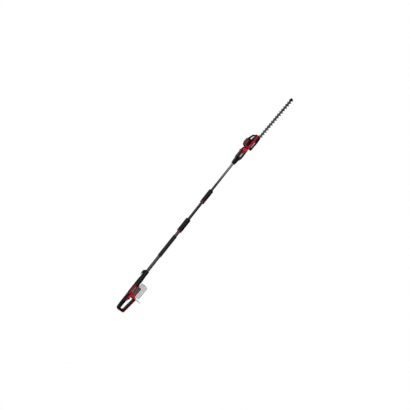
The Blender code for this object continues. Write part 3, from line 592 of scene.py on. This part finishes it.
def grip_pad():
    """A ribbed overmoulded sleeve round the grip, behind the trigger."""
    start, end, rib = 44, 98, 4.5

    def section(station, proud):
        """The grip's cross-section, whose top and bottom slope as the handle's outline does."""
        top = min(17, 14 + 0.053 * (station - 3.3)) + proud
        bottom = -11 - 0.031 * (station - 21) - proud
        half = GRIP_HALF_WIDTH + proud
        outline = oblong(-half, bottom, half, top, 5.5 + proud, 10)
        return [(station, point.x, point.y) for point in outline]

    count = round((end - start) / 0.75)
    stations = [start + (end - start) * k / count for k in range(count + 1)]
    turns = [2 * math.pi * (station - start) / rib for station in stations]
    outer = [section(x, 0.3 + 0.4 * math.cos(turn - math.pi) ** 3) for x, turn in zip(stations, turns)]
    return skin([section(start, -1), section(start, 0), *outer[1:-1], section(end, 0), section(end, -1)])


def rear_handle():
    """The case's two halves with their red trims, the grip's pad, the screws and the butt."""
    case = handle_case()
    for side_name, side in SIDES:
        shell = half_of(case, side)
        place(f"handle_moulding_{side_name}", shell, POLE, BLACK, "handle", f"handle_shell_{side_name}")
        trim = plate(TRIM_OUTLINE, *span(side, GRIP_HALF_WIDTH + 0.05, GRIP_HALF_WIDTH + 2.3),
                     holes=[circle(*BAIL_PIVOT, BAIL_HOLE)], edge=0.9)
        place(f"handle_red_trim_{side_name}", trim, POLE, RED, "handle", f"handle_trim_{side_name}")
    bpy.data.objects.remove(case)
    place("handle_grip_pad", grip_pad(), POLE, GRIP, "handle")
    case_screws("handle_fixing", HANDLE_SCREWS, POLE, "handle", "handle_screw")
    butt_outline = fillet([
        (0, -65.2, 19), (0, 6, 1), (4.2, 6, 0.6), (4.2, -60.35, 16), (160, -79.6, 0.6), (160, -84.6, 1.5),
    ])
    bumper = plate(butt_outline, -GRIP_HALF_WIDTH, GRIP_HALF_WIDTH, edge=1.3)
    place("butt_moulding", bumper, POLE, RED, "handle", "butt_bumper")


def handle_labels():
    """A dark panel on each cheek of the body, in a red frame and with a plain pale mark."""
    ring = fillet([(183, 16, 6), (268, 16, 6), (266, -15, 5), (180, -15, 5)])
    window = oblong(192, 11, 262, -12, 3)
    panel = oblong(192.3, 10.7, 261.7, -11.7, 3)
    bars = (oblong(199, -4, 255, 2, 2), oblong(199, 4.6, 230, 6.4, 0.8))
    cheek = BODY_HALF_WIDTH
    for side_name, side in SIDES:
        rim = plate(ring, *span(side, cheek - 0.4, cheek + 1.9), holes=[window], edge=0.7)
        place(f"label_frame_{side_name}", rim, POLE, RED, "handle")
        film = plate(panel, *span(side, cheek + 0.05, cheek + 1.3), edge=0.4)
        place(f"label_panel_{side_name}", film, POLE, LABEL, "handle", f"label_plate_{side_name}")
        low, high = span(side, cheek + 1.2, cheek + 1.5)
        marks = gather(*[plate(bar, low, high, edge=0.08, segments=2) for bar in bars])
        place(f"label_mark_{side_name}", marks, POLE, MARK, "handle")


def trigger():
    """The trigger, with grooves for the finger, and the lock-off slider above it."""
    outline = fillet([
        (-46, 1, 2), (-6, 1, 0), (-4, 4.5, 3), (4, 4.5, 3), (5.2, -4, 3), (-4, -14, 6), (-14, -27, 8),
        (-30, -15, 12), (-46, -10, 3),
    ])
    lever = plate(outline, -6.5, 6.5, holes=[circle(0, 0, TRIGGER_HOLE)], edge=1.8)
    grooves = [rod("Y", (-40 + 5 * k, 0, -13.1 - 0.45 * k * k), 1.0, 9, 24, 0.4) for k in range(5)]
    place("trigger_lever", cut(lever, *grooves), TRIGGER, BLACK, "trigger", "trigger")
    outline = fillet([(128, 17.6, 0.8), (147, 17.6, 0.8), (145, 21, 2), (133, 19.8, 3)])
    slider = plate(outline, -4.5, 4.5, edge=0.8)
    join(slider, block((130.2, -4.2, 10), (141.8, 4.2, 18.9)))
    ridges = [rod("Y", (135 + 2.4 * k, 0, 20.3 + 0.22 * k), 0.55, 6.4, 20, 0.3) for k in range(4)]
    join(slider, *ridges)
    place("lock_off_slider", slider, POLE, BLACK, "lock_off", "lock_off_button")


def battery_holder():
    """The channel under the body that the pack's head slides into."""
    top = -18.3
    half = [(31, top, 4), (31, -49, 2), (19.5, -49, 1), (19.5, -44, 1), (25.5, -44, 1), (25.5, -24, 1)]
    channel = [(-y, z, radius) for y, z, radius in half] + half[::-1]
    holder = plate(fillet(channel), 191, 273, "YZ", edge=0.8)
    ribs = []
    for _, side in SIDES:
        low, high = span(side, 30, 31.9)
        ribs += [block((201 + 11 * k, low, -45), (203.4 + 11 * k, high, -23), 0.6) for k in range(6)]
        low, high = span(side, 30, 31.7)
        ribs.append(block((192.5, low, -48), (271.5, high, -46), 0.5))
    join(holder, block((191, -26, -46), (194, 26, -22), 0.4), *ribs)
    place("battery_channel", holder, POLE, HOLDER, "handle", "battery_holder")
    edge = fillet([(273.6, -19, 2), (273.6, -49.6, 3), (214, -49.6, 1), (214, -45.4, 1), (264, -45.4, 3),
                   (264, -19, 1)])
    for side_name, side in SIDES:
        rim = plate(edge, *span(side, 29.5, 32.4), edge=0.8)
        place(f"channel_rim_{side_name}", rim, POLE, BLACK, "handle")


def battery_pack():
    """The slide-on pack: two case halves, a release latch and a plain charge gauge."""
    rear, front, wide, wall = 192, 313, 38, 3
    top_outline = fillet([(rear, -50, 4), (rear, -61.7, 0), (front, -61.7, 0), (front, -50, 5)])
    top = plate(top_outline, -wide, wide, edge=2)
    rails = block((206, -24.8, -43.4), (286, 24.8, -25), 1.5)
    join(top, rails, block((207, -18.8, -53), (285, 18.8, -40), 0.5))
    contact_slot = block((200, -16, -41), (218, 16, -28), 0.5)
    cell_room = block((196, -34, -70), (298, 34, -54))
    latch_way = block((301, -13, -70), (330, 13, -52))
    cut(top, contact_slot, cell_room, latch_way)
    place("pack_upper_moulding", top, POLE, PACK, "battery", "battery_top_case")
    low_outline = fillet([
        (188, -62, 0), (180, -84, 6), (188, -94, 7), (front, -94, 8), (front, -62, 0),
    ])
    low = plate(low_outline, -wide, wide, edge=4, segments=6)
    room = fillet([(rear + wall, -50, 0), (rear + wall, -77, 0), (209, -91, 0), (front - wall, -91, 0),
                   (front - wall, -50, 0)])
    cut(low, plate(room, wall - wide, wide - wall), block((301, -13, -79), (330, 13, -50)))
    recess = fillet([(214, -68, 3), (214, -84, 5), (296, -84, 5), (296, -68, 3)])
    for _, side in SIDES:
        cut(low, plate(recess, *span(side, wide - 0.9, wide + 5)))
        rib_low, rib_high = span(side, wide - 1.4, wide - 0.15)
        for k in range(3):
            join(low, block((220, rib_low, -81.5 + 4.4 * k), (290, rib_high, -79.6 + 4.4 * k), 0.4))
    grooves = [block((216 + 12 * k, -26, -95), (218 + 12 * k, 26, -93.2), 0.3) for k in range(7)]
    cut(low, *grooves)
    place("pack_lower_moulding", low, POLE, PACK, "battery", "battery_lower_case")
    outline = fillet([
        (302, -52.5, 1), (302, -74, 1), (311, -74, 2), (314.5, -66, 3), (314.5, -60, 2), (309, -52.5, 3),
    ])
    latch = plate(outline, -12.5, 12.5, edge=1.2)
    cut(latch, *[rod("Y", (314.9, 0, -60 - 2.2 * k), 0.8, 20, 20, 0.4) for k in range(4)])
    place("pack_latch", latch, POLE, HOLDER, "battery_latch", "battery_latch")
    panel = plate(oblong(-34, -76, -17, -66, 2), front - 0.5, front + 0.5, "YZ", edge=0.3)
    windows = [plate(circle(-31 + 3.5 * k, -71, 1.3, 24), front + 0.2, front + 0.8, "YZ", edge=0.2)
               for k in range(4)]
    place("pack_gauge_panel", panel, POLE, PACK_DARK, "battery")
    place("pack_gauge_windows", gather(*windows), POLE, PACK, "battery")


def rest_bail():
    """The wire stand hinged through the foot of the D grip."""
    path = bends([(0, 9, 0), (0, 24.6, 0), (-5, 34.6, -58), (-5, -34.6, -58), (0, -24.6, 0), (0, -9, 0)], 5)
    place("stand_wire", wire(path, 2.5), BAIL, STAND, "rest_bail", "rest_bail")


def strap_eye():
    """The clamped collar with the strap's eye, and its steel ring."""
    grooves = [corner for station in (428, 396) for corner in groove(station, 20.5, 1.5, 0.8, 0.8)]
    collar = lathe(fillet([
        (434, 15.1, 0.4), (434, 20.5, 2.2), *grooves, (388, 20.5, 1.5), (388, 15.1, 0.4),
    ], 12))
    hole = POLE.inverted() @ Vector(joints["ring_swing"]["pos_m"])
    outline = fillet([(389, 18, 0), (389, 38, 4), (420, 38, 9), (433, 18, 0)])
    ear = plate(outline, -4, 4, holes=[circle(hole.x, hole.z, 3.6)], edge=1.5)
    join(collar, ear)
    cut(collar, block((392, -0.8, -22), (440, 0.8, -14)), rod("Y", (412, 0, -17.8), 1.4, 40, 32))
    place("strap_collar", collar, POLE, BLACK, "handle", "strap_lug")
    turns = [2 * math.pi * k / 64 for k in range(64)]
    radius = 11
    loop = [(radius * (math.cos(t) - 1), radius * math.sin(t), 0) for t in turns]
    place("strap_steel_ring", wire(loop, 2.2, cyclic=True), RING, ZINC, "strap_ring", "strap_ring")


# ---- pole

MID_TUBE = (700, 1330, 13.0, 11.6)
UPPER_TUBE = (1010, 1785, 11.0, 9.6)
CLAMPS = (  # rear, front, outer radius, length of the red collar, outer tube, inner tube, collar's body
    (887, 1033, 24.0, 15, LOWER_TUBE, MID_TUBE, "handle"),
    (1217, 1363, 21.5, 23, MID_TUBE, UPPER_TUBE, "mid_pole"),
)
OUTSIDE = 16  # a radius between any sleeve's bore and its outer face


def clamp_collar(rear, front, outer, bore):
    """The red end of a twist clamp, with a groove round it."""
    face = outer - 0.5
    return lathe(fillet([
        (front, bore, 0.3), (front, face, 1), *groove(front - 4.5, face, 1.3, 0.7, 0.8), (rear, face, 3),
        (rear, bore, 0.3),
    ], 15))


def clamp_sleeve(rear, front, outer, bore, tube_end, throat):
    """The fluted black sleeve of a twist clamp, with room for the collet inside."""
    cage = bore + 3.2
    section = fillet([
        (front, throat, 0), (front, outer - 4, 1.6), (front - 8, outer - 0.8, 5), (front - 14, outer, 4),
        (rear + 20, outer, 0), (rear, outer, 2.2), (rear, bore, 0.4), (tube_end - 6, bore, 0),
        (tube_end - 4, cage, 0), (front - 9, cage, 0), (front - 5, throat, 0),
    ], 12)
    start, end, run_out, depth, flutes = rear + 9, front - 18, 6, 0.9, 15

    def wave(along, turn, radius):
        if radius < OUTSIDE:
            return 0
        ramp = min(1, max(0, (along - start) / run_out), max(0, (end - along) / run_out))
        ramp = ramp * ramp * (3 - 2 * ramp)
        return -depth * ramp * max(0, math.cos(flutes * turn)) ** 3

    return lathe(divided(section, 3, outer - 1.2), steps=180, wave=wave)


def pole():
    """The three tubes and their two clamps."""
    place("lower_pole_tube", tube(*LOWER_TUBE), POLE, LOWER_METAL, "handle", "lower_tube")
    place("middle_pole_tube", tube(*MID_TUBE), POLE, MID_METAL, "mid_pole", "mid_tube")
    place("upper_pole_tube", tube(*UPPER_TUBE), POLE, UPPER_METAL, "upper_pole", "upper_tube")
    for number, (rear, front, outer, collar, outer_tube, inner_tube, body) in enumerate(CLAMPS, 1):
        split = rear + collar
        bore = outer_tube[2] + CLEARANCE
        throat = inner_tube[2] + 2 * CLEARANCE
        clamp = f"clamp_{number}"
        ring = clamp_collar(rear, split, outer, bore)
        # the collar rings get the darker red, which paints shade on them
        place(f"{clamp}_red_ring", ring, POLE, SHADED_RED, body, f"{clamp}_collar")
        twist = clamp_sleeve(split + CLEARANCE, front, outer, bore, outer_tube[1], throat)
        place(f"{clamp}_grip", twist, POLE, BLACK, clamp, f"{clamp}_sleeve", sharp=50)


def foam_grip():
    """The foam sleeve, with soft ends and the slight unevenness of foam."""
    rear, front, outer, inner = 605, 837, 19.0, 15.05
    face = outer - 0.3
    section = fillet([(front, inner, 0.5), (front, face, 3.5), (rear, face, 3.5), (rear, inner, 0.5)], 10)

    def wave(along, turn, radius):
        if radius < OUTSIDE:
            return 0
        slow = math.sin(along / 17 + 2 * turn) * math.sin(3 * turn + along / 31)
        fast = math.sin(along / 3.1 + 7 * turn) * math.sin(11 * turn - along / 4.3)
        return 0.12 * slow + 0.05 * fast

    sleeve = lathe(divided(section, 4), steps=120, wave=wave)
    place("foam_sleeve", sleeve, POLE, FOAM, "handle", "foam_grip", sharp=60)


# ---- tilt joint

PIVOT = POLE.inverted() @ Vector(joints["head_tilt"]["pos_m"])
PIVOT_HOLE = 5.3
NECK_HALF_WIDTH = 20
NECK_OUTLINE = fillet([
    (1722, 19, 6), (1742, 23, 20), (1822, 23, 5), (1830, 19, 3), (1858, 19, 22), (1858, -29, 22),
    (1808, -29, 6), (1796, -31, 6), (1745, -31, 20), (1722, -21, 6),
])
WAIST_OUTLINE = fillet([
    (1683, 17, 5), (1722, 18, 20), (1740, 21, 0), (1740, -25, 0), (1720, -19, 20), (1683, -17, 5),
])
NECK_SCREWS = ((1734, -17), (1794, -21.5))


def neck_case():
    """The neck's clamshell, which grips the tube and forks round the head's knuckle."""
    width = NECK_HALF_WIDTH
    case = plate(NECK_OUTLINE, -width, width, edge=3, segments=6)
    join(case, plate(WAIST_OUTLINE, -17, 17, edge=3.5, segments=6))
    fork = fillet([(1807, -60, 0), (1807, 17, 2), (1826, 17, 0), (1826, 60, 0), (1880, 60, 0),
                   (1880, -60, 0)])
    grooves = []
    for k in range(3):
        for _, side in SIDES:
            low, high = span(side, 16.4, 30)
            grooves.append(block((1691 + 7 * k, low, -30), (1692.8 + 7 * k, high, 30), 0.3))
    knuckle_room = plate(fork, -9.8, 9.8)
    pole_bore = rod("X", (1735, 0, 0), UPPER_TUBE[2] + CLEARANCE, 110, 64)
    neck_room = block((1746, -16, -27), (1784, 16, 19))
    pivot_hole = rod("Y", (PIVOT.x, 0, PIVOT.z), PIVOT_HOLE, 60)
    button_slot = block((1804.5, -4.5, 11), (1813.5, 4.5, 30), 0.4)
    return cut(case, knuckle_room, pole_bore, neck_room, pivot_hole, button_slot,
               *[screw_room(*screw) for screw in NECK_SCREWS], *grooves)


def pivot_cover(side):
    """A round cover over one end of the pivot, with a dished face and notches round its rim."""
    inner = NECK_HALF_WIDTH + CLEARANCE
    section = fillet([
        (inner + 5, PIVOT_HOLE, 0.3), (inner + 5, 9, 0.6), (inner + 4, 10, 0.6), (inner + 4, 14, 0.8),
        (inner + 5, 15.4, 0.8), (inner + 5, 19, 1.2), (inner + 3, 22.5, 1.6), (inner, 22.5, 0),
        (inner, PIVOT_HOLE, 0),
    ], 15)
    points = [(side * p.x, p.y) for p in section]
    if side < 0:
        points.reverse()

    def notches(along, turn, radius):
        return -1.1 * max(0, math.cos(12 * turn)) ** 4 if radius > 17 else 0

    return lathe(points, "Y", (PIVOT.x, 0, PIVOT.z), 168, notches)


def tilt_joint():
    """The neck's shells with their labels and trims, the end collar, the caps and the button."""
    case = neck_case()
    panel = fillet([(1755, 3, 2), (1795, 3, 2), (1795, -10, 2), (1756, -10, 2)])
    red_line = fillet([
        (1750, 6, 1), (1750, 9.5, 1), (1812, 9.5, 2), (1812, -13, 2), (1799, -13, 2), (1799, 6, 1),
    ])
    red_corner = fillet([(1735, -13, 2), (1746, -15, 2), (1748, -27, 3), (1739, -24, 4)])
    for side_name, side in SIDES:
        shell = half_of(case, side)
        place(f"neck_moulding_{side_name}", shell, POLE, BLACK, "upper_pole", f"neck_shell_{side_name}")
        low, high = span(side, NECK_HALF_WIDTH - 0.3, NECK_HALF_WIDTH + 0.9)
        trims = gather(*[plate(shape, low, high, edge=0.4) for shape in (red_line, red_corner)])
        place(f"neck_trim_{side_name}", trims, POLE, RED, "upper_pole")
        place(f"neck_label_{side_name}", plate(panel, low, high, edge=0.3), POLE, PALE, "upper_pole")
    bpy.data.objects.remove(case)
    collar = tube(1669, 1682.7, 19.5, UPPER_TUBE[2] + CLEARANCE, 2.2)
    place("neck_end_collar", collar, POLE, BLACK, "upper_pole", "neck_collar")
    case_screws("neck_fixing", NECK_SCREWS, POLE, "upper_pole", "neck_screw")
    bolt = rod("Y", (PIVOT.x, 0, PIVOT.z), 5, 54, 64, 0.8)
    sockets = [plate(circle(PIVOT.x, PIVOT.z, 2.8, 6), *span(side, 24.5, 30)) for _, side in SIDES]
    place("pivot_pin", cut(bolt, *sockets), POLE, ZINC, "upper_pole", "pivot_bolt")
    for side_name, side in SIDES:
        cover = pivot_cover(side)
        place(f"pivot_cover_{side_name}", cover, POLE, RED, "upper_pole", f"pivot_cap_{side_name}")
    station = 1809
    button = lathe(fillet([
        (34.8, 0, 0), (34.8, 3, 0.6), (35.5, 4.2, 0.8), (35.5, 5.4, 1), (33.6, 7.4, 1.5), (27.5, 7.8, 0.6),
        (27.5, 0, 0),
    ], 12), "Z", (station, 0, 0), 72)
    join(button, rod("Z", (station, 0, 22.5), 3.8, 13, 32))
    place("tilt_release_button", button, POLE, RED, "tilt_button", "tilt_button")


# ---- cutter head

BAND_SEAM = -14.5
BAND_BOTTOM = -26
COVER_BOTTOM = -43
EAR_ROOM = 25.5
HEAD_HALF_WIDTH = 31
POD_HALF_WIDTH = 26
CRANK_AXIS = 91
MOTOR_AXIS = 59
POD_OUTLINE = fillet([
    (21, 3.2, 0), (21, 26, 3), (30, 40, 6), (47, 50, 10), (90, 50, 12), (104, 38, 4), (104, 3.2, 0),
])
BOW_OUTLINE = fillet([
    (80, -3.6, 0), (80, 49, 0), (96, 49, 14), (152, 30, 18), (169, 2, 5), (169, -3.6, 0),
])
BOW_OPENING = fillet([(107, 13, 4), (152, 2, 5), (155, 10, 4), (146, 21, 7), (107, 33, 6)])
HEAD_SCREWS = ((34, 30), (98, 30))


def ear_room():
    """The cutter that lets the neck's ears turn inside the head."""
    return rod("Y", (0, 0, 0), EAR_ROOM, 90, 96)


def pod():
    """The motor housing and the bow in front of it."""
    case = plate(POD_OUTLINE, -POD_HALF_WIDTH, POD_HALF_WIDTH, edge=6, segments=7)
    join(case, plate(BOW_OUTLINE, -10, 10, holes=[BOW_OPENING], edge=4, segments=6))
    vents = []
    for height in (10, 16.5, 23):
        outline = oblong(60, height, 92, height + 3, 1.2)
        vents += [plate(outline, *span(side, 16, 40)) for _, side in SIDES]
    motor_room = rod("Z", (MOTOR_AXIS, 0, 17), 21, 46, 80)
    return cut(case, ear_room(), motor_room, *[screw_room(*screw) for screw in HEAD_SCREWS], *vents)


def head_shells():
    """The motor housing's two halves, each with its red sweep, and their screws."""
    case = pod()
    sweep = stroke(fillet([(31, 3, 0), (31, 24, 8), (36, 37, 6), (50, 41.5, 10), (88, 41.5, 0)]), 9)
    for side_name, side in SIDES:
        shell = half_of(case, side)
        place(f"pod_moulding_{side_name}", shell, HEAD, BLACK, "head", f"head_shell_{side_name}")
        low, high = span(side, POD_HALF_WIDTH - 0.5, POD_HALF_WIDTH + 1.1)
        place(f"pod_red_sweep_{side_name}", plate(sweep, low, high, edge=0.7), HEAD, RED, "head")
    bpy.data.objects.remove(case)
    case_screws("pod_fixing", HEAD_SCREWS, HEAD, "head", "head_screw")


def plan(grow=0.0, rear=22):
    """The gear case seen from above, made wider or narrower all round."""
    side = HEAD_HALF_WIDTH + grow
    return fillet(mirrored([(rear, -side, 3), (118, -side, 30), (175 + grow, -19 - grow, 6)]))


def gear_housing():
    """The black gear case with its knuckle, the red band round it and the pale label below."""
    case = plate(plan(), BAND_BOTTOM, BAND_SEAM - 0.2, "XY", edge=1.6, segments=5)
    join(case, plate(plan(-3.2), BAND_SEAM - 4, 4.4, "XY", edge=1.4, segments=5))
    cut(case, ear_room())
    knuckle = fillet([(40, -21, 2), (40, -5, 0), (24, -5, 0), (15, 14, 8), (-21, 14, 16), (-21, -21, 16)])
    bar_seat = block((136, -8, -27.5), (168, 8, -24))
    join(case, plate(knuckle, -9.3, 9.3, edge=1.2), bar_seat)
    pivot_hole = rod("Y", (0, 0, 0), PIVOT_HOLE, 40)
    gear_room = block((44.5, -27.5, -22), (121, 27.5, 2))
    crank_hole = rod("Z", (CRANK_AXIS, 0, -25), 6.3, 12)
    cut(case, pivot_hole, gear_room, crank_hole)
    place("gear_housing", case, HEAD, BLACK, "head", "gear_case")
    band = plate(plan(0.6), BAND_SEAM, 2.2, "XY", edge=2.0, segments=6)
    cut(band, plate(plan(-3.15, 0), -30, 10, "XY"), ear_room())
    place("head_red_band", band, HEAD, RED, "head")
    film = fillet([(50, -16.5, 1.5), (108, -16.5, 1.5), (105, -24.6, 1.5), (50, -24.6, 1.5)])
    for side_name, side in SIDES:
        low, high = span(side, HEAD_HALF_WIDTH - 0.6, HEAD_HALF_WIDTH + 0.7)
        place(f"head_label_{side_name}", plate(film, low, high, edge=0.3), HEAD, PALE, "head")


def under_cover():
    """The hollow ribbed cover under the gears and the blades' yokes."""
    top = BAND_BOTTOM - 0.3
    outline = fillet(mirrored([(24, -HEAD_HALF_WIDTH, 10), (118, -HEAD_HALF_WIDTH, 30), (168, -20, 6)]))
    cover = plate(outline, COVER_BOTTOM, top, "XY", edge=4, segments=6)
    ribs = [block((48 + 14 * k, -18, -43.9), (50 + 14 * k, 18, -42), 0.4) for k in range(6)]
    join(cover, *ribs)
    yoke_room = block((56, -26, -40), (132, 26, -20))
    blade_way = block((120, -15, -40), (200, 15, -20))
    dimples = [rod("Z", (*corner, -43), 3.6, 3, 40, 0.3)
               for corner in ((36, -20), (36, 20), (140, -15), (140, 15))]
    cut(cover, ear_room(), yoke_room, blade_way, *dimples)
    place("under_moulding", cover, HEAD, BLACK, "head", "bottom_cover")


# ---- cutter

BLADE_THICKNESS = 2.4
LOWER_BLADE_BOTTOM = -38.2
UPPER_BLADE_BOTTOM = -35.5
GUIDE_BOTTOM = -32.8
GUIDE_TOP = -27.8
SPINE_HALF_WIDTH = 13
TOOTH_TIP = 40
TOOTH_COUNT = 16
TOOTH_PITCH = 28.4
FIRST_TOOTH = 186
TIP_END = 630
BOLT_STATIONS = (214, 340, 466, 592)
GRIND = 1.9  # how far a tooth's ground face slopes in
UNDERSIDE = LOWER_BLADE_BOTTOM - CLEARANCE


def blade_outline(grind):
    """A toothed blade seen from above, with its yoke, its teeth's flanks drawn in by the grind."""
    flank = [(9.5 - grind * 0.7, SPINE_HALF_WIDTH), (4.5 - grind, TOOTH_TIP - 1),
             (3.5 - grind, TOOTH_TIP - grind * 0.2)]
    right = []
    for k in range(TOOTH_COUNT):
        middle = FIRST_TOOTH + k * TOOTH_PITCH
        right += [(middle - along, -out) for along, out in flank]
        right += [(middle + along, -out) for along, out in reversed(flank)]
    crank = CRANK_AXIS
    yoke = [(crank + 27, -SPINE_HALF_WIDTH), (crank + 27, -16), (crank + 22, -20.5), (crank - 22, -20.5),
            (crank - 27, -16)]
    edge = list(reversed(yoke)) + right + [(TIP_END - 12, -SPINE_HALF_WIDTH)]
    return [Vector(p) for p in edge] + [Vector((x, -y)) for x, y in reversed(edge)]


def blade(bottom, ground_up):
    """A blade with ground teeth. Its flanks slope in towards the top or towards the bottom."""
    top = bottom + BLADE_THICKNESS
    land = 0.7
    wide, narrow = blade_outline(0), blade_outline(GRIND)
    if ground_up:
        layers = [(wide, bottom), (wide, bottom + land), (narrow, top)]
    else:
        layers = [(narrow, bottom), (wide, top - land), (wide, top)]
    bm = bmesh.new()
    rings = [[bm.verts.new((p.x, p.y, height)) for p in outline] for outline, height in layers]
    bm.faces.new(list(reversed(rings[0])))
    bm.faces.new(rings[-1])
    ground = sewn(bm, zip(rings, rings[1:]))
    yoke_slot = (CRANK_AXIS, 23.5, 16.5)
    slots = []
    for station, half_length, half_width in (yoke_slot, *[(station, 10.6, 3.5) for station in BOLT_STATIONS]):
        outline = oblong(station - half_length, -half_width, station + half_length, half_width,
                         half_width - 0.01)
        slots.append(plate(outline, bottom - 1, top + 1, "XY"))
    return cut(ground, *slots)


def guide_bar():
    """The bar over the blades, with holes for its bolts and a shallow slot between each two of them."""
    bar = fillet(mirrored([(135, -9, 2), (TIP_END - 8, -9, 3)]))
    holes = [circle(station, 0, 3.3) for station in BOLT_STATIONS]
    pairs = zip(BOLT_STATIONS, BOLT_STATIONS[1:])
    slots = [oblong(rear + 22, -3, front - 22, 3, 2.9) for rear, front in pairs]
    guide = plate(bar, GUIDE_BOTTOM, GUIDE_TOP, "XY", holes, 0.9, 3)
    return cut(guide, *[plate(slot, GUIDE_TOP - 1.6, GUIDE_TOP + 3, "XY") for slot in slots])


def bar_bolt(station):
    """A shouldered bolt with a domed hexagon over the bar and a socket under the blades."""
    seat = GUIDE_TOP + CLEARANCE
    hexagon = eased(plate(circle(station, 0, 5.6, 6), seat, seat + 3.1, "XY"), 0.4, 2, 40)
    dome = fillet([
        (seat + 4, 0, 0), (seat + 4, 2.4, 0.8), (seat + 2.7, 4.2, 0.8), (seat + 0.7, 4.2, 0),
        (seat + 0.7, 0, 0),
    ], 15)
    shank = fillet([
        (seat + 1.7, 0, 0), (seat + 1.7, 3, 0), (UNDERSIDE, 3, 0), (UNDERSIDE, 5.5, 0.4),
        (UNDERSIDE - 2, 5, 0.6), (UNDERSIDE - 2, 0, 0),
    ], 15)
    bolt = join(lathe(shank, "Z", (station, 0, 0), 48), hexagon, lathe(dome, "Z", (station, 0, 0), 48))
    return cut(bolt, plate(circle(station, 0, 2.2, 6), UNDERSIDE - 4, UNDERSIDE - 0.9, "XY"))


def tip_guard():
    """The blunt guard that wraps the end of the bar and the blades."""
    rear, lip, nose, top = 600, 606, TIP_END - 3.5, GUIDE_TOP + 4.5
    return plate(fillet([
        (rear, GUIDE_TOP + CLEARANCE, 0.5), (nose, GUIDE_TOP + CLEARANCE, 0.5), (nose, UNDERSIDE, 0.5),
        (lip, UNDERSIDE, 0.5), (lip, UNDERSIDE - 4, 1), (TIP_END - 5, UNDERSIDE - 4, 3),
        (TIP_END, UNDERSIDE + 1, 3), (TIP_END, GUIDE_TOP, 3), (TIP_END - 6, top, 4), (rear, top, 1.5),
    ]), -9, 9, edge=1.2)


def cutter():
    """The two blades, the guide bar over them, its bolts and the tip guard."""
    blades = {"lower": blade(LOWER_BLADE_BOTTOM, False), "upper": blade(UPPER_BLADE_BOTTOM, True)}
    for level, steel in blades.items():
        node = f"{level}_blade"
        place(f"{level}_cutting_blade", steel, HEAD, STEEL, node, node, sharp=20)
    place("guide_bar_steel", guide_bar(), HEAD, BAR_STEEL, "head", "guide_bar")
    for number, station in enumerate(BOLT_STATIONS, 1):
        place(f"blade_bolt_{number}", bar_bolt(station), HEAD, ZINC, "head", f"bar_bolt_{number}")
    place("nose_guard", tip_guard(), HEAD, BLACK, "head", "tip_guard")


# ---- making it

rear_handle()
handle_labels()
trigger()
battery_holder()
battery_pack()
rest_bail()
strap_eye()
pole()
foam_grip()
tilt_joint()
head_shells()
gear_housing()
under_cover()
cutter()

CARRIED_OVER = {
    "trigger_pin": ZINC, "switch_block": BLACK, "terminal_block": BRASS, "battery_cells": ZINC,
    "clamp_1_collet": HOLDER, "clamp_2_collet": HOLDER, "supply_lead": RUBBER, "motor_can": ZINC,
    "rotor": STEEL, "crank_gear": STEEL,
}
for node_name, look in CARRIED_OVER.items():
    node = frame["nodes"][node_name]
    node.data.materials.clear()
    node.data.materials.append(look)

# ---- floor, light and camera

FLOOR = -0.6  # metres; below the reach of the blades when the head is tilted right down
FLOOR_REACH = 45
LAMPS = (  # name, place, size, power
    ("key", (-0.6, -4.6, 3.0), 4.0, 250),
    ("top", (0.3, -0.4, 4.8), 3.0, 22),
    ("back", (0.5, 4.4, 2.8), 4.0, 105),
    ("butt_end", (-4.6, -0.5, 1.8), 3.0, 60),
    ("tip_end", (4.6, -0.5, 1.8), 3.0, 60),
)
LAMP_AIM = Vector((0, 0, 0.1))
ELEVATION = math.radians(25)  # of the camera over the tool
ROLL = math.radians(51.48)  # of the picture, so that the pole climbs to the right
PICTURE_WIDTH = 3.69  # metres at the tool
LENS, SENSOR = 110, 36
AIM_RIGHT, AIM_DOWN = 0.0224, 0.0295  # metres from the middle of the tool, in the picture


def studio():
    """A plain white floor that lights itself, and large soft lamps all round."""
    bm = bmesh.new()
    bmesh.ops.create_grid(bm, x_segments=1, y_segments=1, size=FLOOR_REACH)
    floor = from_bmesh(bm)
    floor.name = "floor"
    floor.location.z = FLOOR
    paint = bpy.data.materials.new("floor")
    paint.use_nodes = True
    white = (1, 1, 1, 1)
    settle(paint.node_tree.nodes["Principled BSDF"], {
        "Base Color": (0, 0, 0, 1), "Roughness": 0.95, "Specular IOR Level": 0.0, "Emission Color": white,
        "Emission Strength": 1.0,
    })
    floor.data.materials.append(paint)
    floor.visible_diffuse = False
    floor.visible_glossy = False
    world = bpy.data.worlds.new("studio")
    world.use_nodes = True
    settle(world.node_tree.nodes["Background"], {"Color": white, "Strength": 1.0})
    world.cycles_visibility.diffuse = False
    world.cycles_visibility.glossy = False
    bpy.context.scene.world = world
    for name, lamp_at, size, power in LAMPS:
        light = bpy.data.lights.new(name, "AREA")
        light.energy = power
        light.size = size
        lamp = shown(light, name)
        lamp.location = lamp_at
        lamp.rotation_euler = (LAMP_AIM - Vector(lamp_at)).to_track_quat("-Z", "Y").to_euler()


def camera():
    """A long lens from the right side and above, rolled so that the pole climbs to the right."""
    up = Vector((0, math.sin(ELEVATION), math.cos(ELEVATION)))
    ahead = Vector((0, math.cos(ELEVATION), -math.sin(ELEVATION)))
    along = Vector((1, 0, 0))
    right = along * math.cos(ROLL) - up * math.sin(ROLL)
    top = along * math.sin(ROLL) + up * math.cos(ROLL)
    aim = Vector((0, 0, POLE.translation.z)) + right * AIM_RIGHT - top * AIM_DOWN
    data = bpy.data.cameras.new("camera")
    data.sensor_width = SENSOR
    data.lens = LENS
    data.clip_end = 200
    view = shown(data, "camera")
    eye = aim - ahead * PICTURE_WIDTH * LENS / SENSOR
    view.matrix_world = Matrix.Translation(eye) @ Matrix((right, top, -ahead)).transposed().to_4x4()
    bpy.context.scene.camera = view


studio()
camera()
bpy.context.scene.view_settings.view_transform = "Standard"
